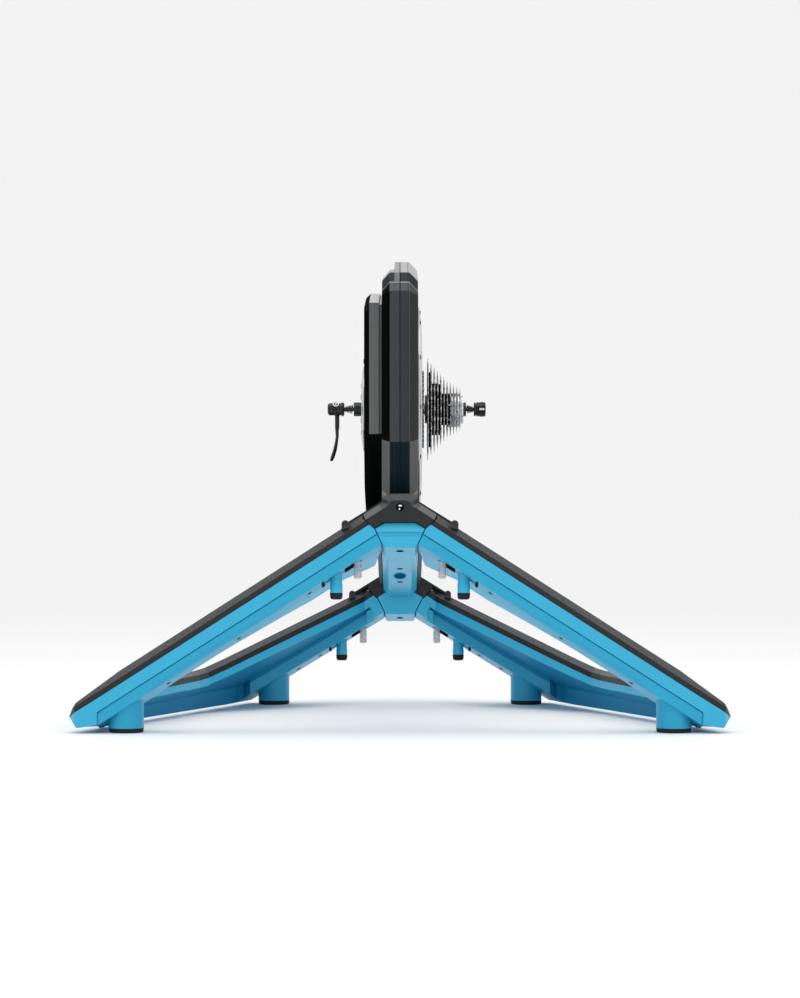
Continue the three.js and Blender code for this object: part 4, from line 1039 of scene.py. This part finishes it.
nut = bmesh.new()
turned(nut, [
    (85.4, 3.2), (85.4, 7.2), (86.0, 8.0), (87.4, 8.0), (87.7, 7.3), (88.5, 7.3), (88.8, 8.4), (90.6, 8.4),
    (90.9, 7.9), (91.5, 7.9), (91.8, 8.3), (98.1, 8.3), (99.0, 7.7), (99.3, 6.9), (99.3, 3.2), (98.4, 2.9),
], AXLE, "x", 40)
add_piece("skewer_nut_body", nut, "skewer_nut", "dark_steel", ("skewer_nut",), smooth=35)
# Painted shade and highlight: a black plate for the slot's shade and a steel bar for its highlight.
for name, near, far, half, deep, finish, slot in (
    ("nut_slot", 90.4, 98.9, 3.3, 8.7, "body_night", "dark_steel"),
    ("nut_slot_pin", 91.6, 97.8, 1.3, 9.0, "steel", "steel"),
):
    work = bmesh.new()
    corners = ((near, -half), (far, -half), (far, half), (near, half))
    add_skin(work, [[(x, AXLE[1] - y, AXLE[2] + z) for x, z in corners] for y in (deep - 1.5, deep)])
    add_piece(name, work, "skewer_nut", finish)


def block(work, radial, across, deep):
    """Adds a small block with broken edges, standing on the origin along X."""
    made = bmesh.ops.create_cube(work, size=1)["verts"]
    for v in made:
        v.co = Vector((v.co.x * radial * MM, v.co.y * across * MM, v.co.z * deep * MM))
    edges = list({e for v in made for e in v.link_edges})
    broken = min(radial, across, deep) * 0.18 * MM
    bmesh.ops.bevel(work, geom=edges, offset=broken, segments=1, affect="EDGES")


def loose_block(name, radial, across, deep):
    return loose(name, lambda work: block(work, radial, across, deep))


def about_axle(x, radius, count, way=1):
    """Values for a ring of parts square to the axle, at a place along it and facing right or left."""
    centre = (x * MM, AXLE[1] * MM, AXLE[2] * MM)
    return ring_of_parts, {
        "Count": count, "Radius": radius * MM, "Centre": centre, "Tilt": (0, way * math.pi / 2, 0),
    }


repeated(
    "nut_knurls", "skewer_nut", "dark_steel", loose_block("knurl", 0.5, 1.1, 5.0),
    [about_axle(95.0, 8.25, 22)],
)

# Drive cover: a spun alloy disc on the right side of the body, stiffened by raised rings.
# It is held by a ring of small round-headed screws near its rim.
COVER_RINGS = [(36.0, 24.85), (78.0, 25.05), (91.0, 24.8), (105.0, 24.0)]
cover_rings = bmesh.new()
for radius, face in COVER_RINGS:
    turned(cover_rings, [
        (face - 1.6, radius - 2.2), (face - 0.1, radius - 1.9), (face + 0.35, radius - 1.1),
        (face + 0.35, radius + 1.1), (face - 0.1, radius + 1.9), (face - 1.6, radius + 2.2),
    ], AXLE, "x", 96, ends=False)
add_piece("drive_cover_rings", cover_rings, "frame", "alloy", smooth=30)
repeated(
    "drive_cover_screws", "frame", "dark_steel", loose("cover_screw", screw_head),
    [about_axle(23.1, 112.0, 12)],
)

# Body sides: low screws that clamp the two halves, and cooling slots and screws in the motor cover's face.
# The screws are black steel; the slots are thin black bars on the cast cover, painted shade for the insides
# of slots cut through it.
MOTOR_FACE = -40.5
VENTS = [(-212, 452), (-192, 300)]
VENT_RUN = 130
BODY_SCREWS = [(-262, 470), (-190, 508), (-90, 524), (0, 528), (38, 470), (26, 400), (20, 300), (110, 215)]
clamps = bmesh.new()
for y, z in BODY_SCREWS:
    turned(clamps, [(19.8, 3.4), (20.55, 3.4), (20.7, 3.1), (20.7, 1.6), (20.1, 1.5)], (0, y, z), "x", 20)
add_piece("body_screws", clamps, "frame", "dark_steel", smooth=40)
repeated(
    "motor_cover_vents", "frame", "body_night", loose_block("vent", 0.5, 4.0, 34.0),
    [along_line((MOTOR_FACE, y, z), (MOTOR_FACE, y + VENT_RUN, z), 14, (0.35, 0, 0)) for y, z in VENTS],
)
repeated(
    "motor_cover_screws", "frame", "dark_steel", loose("motor_screw", screw_head),
    [along_line((-40.3, y, 340), (-40.3, y, 420), 2, (0, -math.pi / 2, 0)) for y in (-255, 36)],
)

# Axle flange: a turned alloy disc on the left side, fixed to the motor cover by six socket screws.
# It carries the fixed axle and has a raised lip near its rim and another round the axle.
FLANGE_FACE = -44.0
flange = bmesh.new()
for radius, wide in ((35.5, 1.6), (17.5, 2.6)):
    turned(flange, [
        (FLANGE_FACE + 0.8, radius - wide), (FLANGE_FACE - 0.1, radius - wide),
        (FLANGE_FACE - 0.5, radius - wide + 0.5), (FLANGE_FACE - 0.5, radius + wide - 0.5),
        (FLANGE_FACE - 0.1, radius + wide), (FLANGE_FACE + 0.8, radius + wide),
    ], AXLE, "x", 72, ends=False)
add_piece("axle_flange_lips", flange, "frame", "alloy", smooth=35)
repeated(
    "axle_flange_screws", "frame", "dark_steel",
    loose("flange_screw", lambda work: screw_head(work, 3.4, 1.2, 1.8)),
    [about_axle(FLANGE_FACE, 27.0, 6, way=-1)],
)

# Cassette: steel cogs with black patches, chain grease and painted shade between the cogs, on black spacers,
# the largest five on black arms and the smallest three brighter, with bright spacers. All slide onto the
# freehub's splines.
# Behind it turns the rotor's toothed disc, black with bright gaps, seen edge on in the photograph.
COG_FIRST = 31.35
COG_PITCH = 3.74
COG_THICK = 1.7
CHAIN_PITCH = 12.7
COG_BORE = 16.9
FIRST_BRIGHT = 8
DISC_X = 26.65
COGS = {
    "sprockets_28_25": [(0, 28), (1, 25)], "sprockets_23_19": [(2, 23), (3, 21), (4, 19)],
    "sprocket_17": [(5, 17)], "sprocket_15": [(6, 15)], "sprocket_14": [(7, 14)], "sprocket_13": [(8, 13)],
    "sprocket_12": [(9, 12)], "sprocket_11": [(10, 11)],
}
TOOTH = [(-0.5, 0.0), (-0.33, 0.05), (-0.2, 0.5), (-0.08, 1.0), (0.08, 1.0), (0.2, 0.5), (0.33, 0.05)]
COG_SECTION = [(0.0, 0.0), (0.35, 0.35), (0.6, 1.0), (1.05, 1.0), (1.35, 0.35), (1.7, 0.0)]


def cog(work, index, teeth):
    """Adds a toothed ring whose teeth thin towards their tips."""
    pitch_radius = CHAIN_PITCH / (2 * math.sin(math.pi / teeth))
    low, high = pitch_radius - 3.7, pitch_radius + 2.5
    floor = max(low - 0.5, COG_BORE + 0.2)
    start = COG_FIRST + COG_PITCH * index
    rings = []
    for across, blend in COG_SECTION + [(COG_THICK, None), (0.0, None)]:
        ring = []
        for tooth in range(teeth):
            for share, level in TOOTH:
                turn = 2 * math.pi * (tooth + share) / teeth
                full = max(low + (high - low) * level, COG_BORE + 0.3)
                radius = COG_BORE if blend is None else floor + (full - floor) * blend
                y, z = AXLE[1] + radius * math.cos(turn), AXLE[2] + radius * math.sin(turn)
                ring.append((start + across, y, z))
        rings.append(ring)
    add_skin(work, rings, ends=False)


for cluster, members in COGS.items():
    work = bmesh.new()
    for index, teeth in members:
        cog(work, index, teeth)
    finish = "cog_steel" if members[0][0] < FIRST_BRIGHT else "alloy"
    add_piece(f"{cluster}_toothed", work, "freehub", finish, (cluster,), smooth=35)
spacers = bmesh.new()
for gap in range(10):
    start = COG_FIRST + COG_PITCH * gap + COG_THICK
    end = start + COG_PITCH - COG_THICK
    outer = 20.5 if gap < 4 else 18.3
    turned(spacers, [
        (start + 0.05, COG_BORE), (start + 0.05, outer - 0.4), (start + 0.35, outer), (end - 0.35, outer),
        (end - 0.05, outer - 0.4), (end - 0.05, COG_BORE),
    ], AXLE, "x", 30)
last_spacers = (COG_FIRST + COG_PITCH * (FIRST_BRIGHT - 1) + COG_THICK) * MM


def spacer_paint(face):
    return "alloy" if face.calc_center_median().x > last_spacers else "body_night"


def between_cogs(gap, radius, count):
    return about_axle(COG_FIRST + COG_PITCH * gap + (COG_PITCH + COG_THICK) / 2, radius, count)


add_piece("cassette_spacers", spacers, "freehub", spacer_paint, smooth=35)
for name, body, slot, finish, part, rows in (
    ("cassette_carrier", "freehub", "dark_steel", "body_night", (26.0, 9.0, 1.8), [between_cogs(0, 31.0, 9)]),
    (
        "cassette_spider_arms", "freehub", "dark_steel", "body_night", (11.0, 5.0, 1.8),
        [between_cogs(gap, 24.5, count) for gap, count in ((1, 6), (2, 10), (3, 9))],
    ),
    (
        "cassette_rivets", "freehub", "steel", "steel", (2.0, 2.0, 1.9),
        [between_cogs(gap, 19.4, 7) for gap in range(6, 10)],
    ),
    ("disc_teeth", "rotor", "dark_steel", "body_night", (3.2, 3.6, 1.9), [about_axle(DISC_X, 42.9, 36)]),
    ("disc_gaps", "rotor", "steel", "body_pale", (2.8, 2.4, 2.0), [about_axle(DISC_X, 43.4, 36)]),
):
    repeated(name, body, finish, loose_block(f"{name}_part", *part), rows)
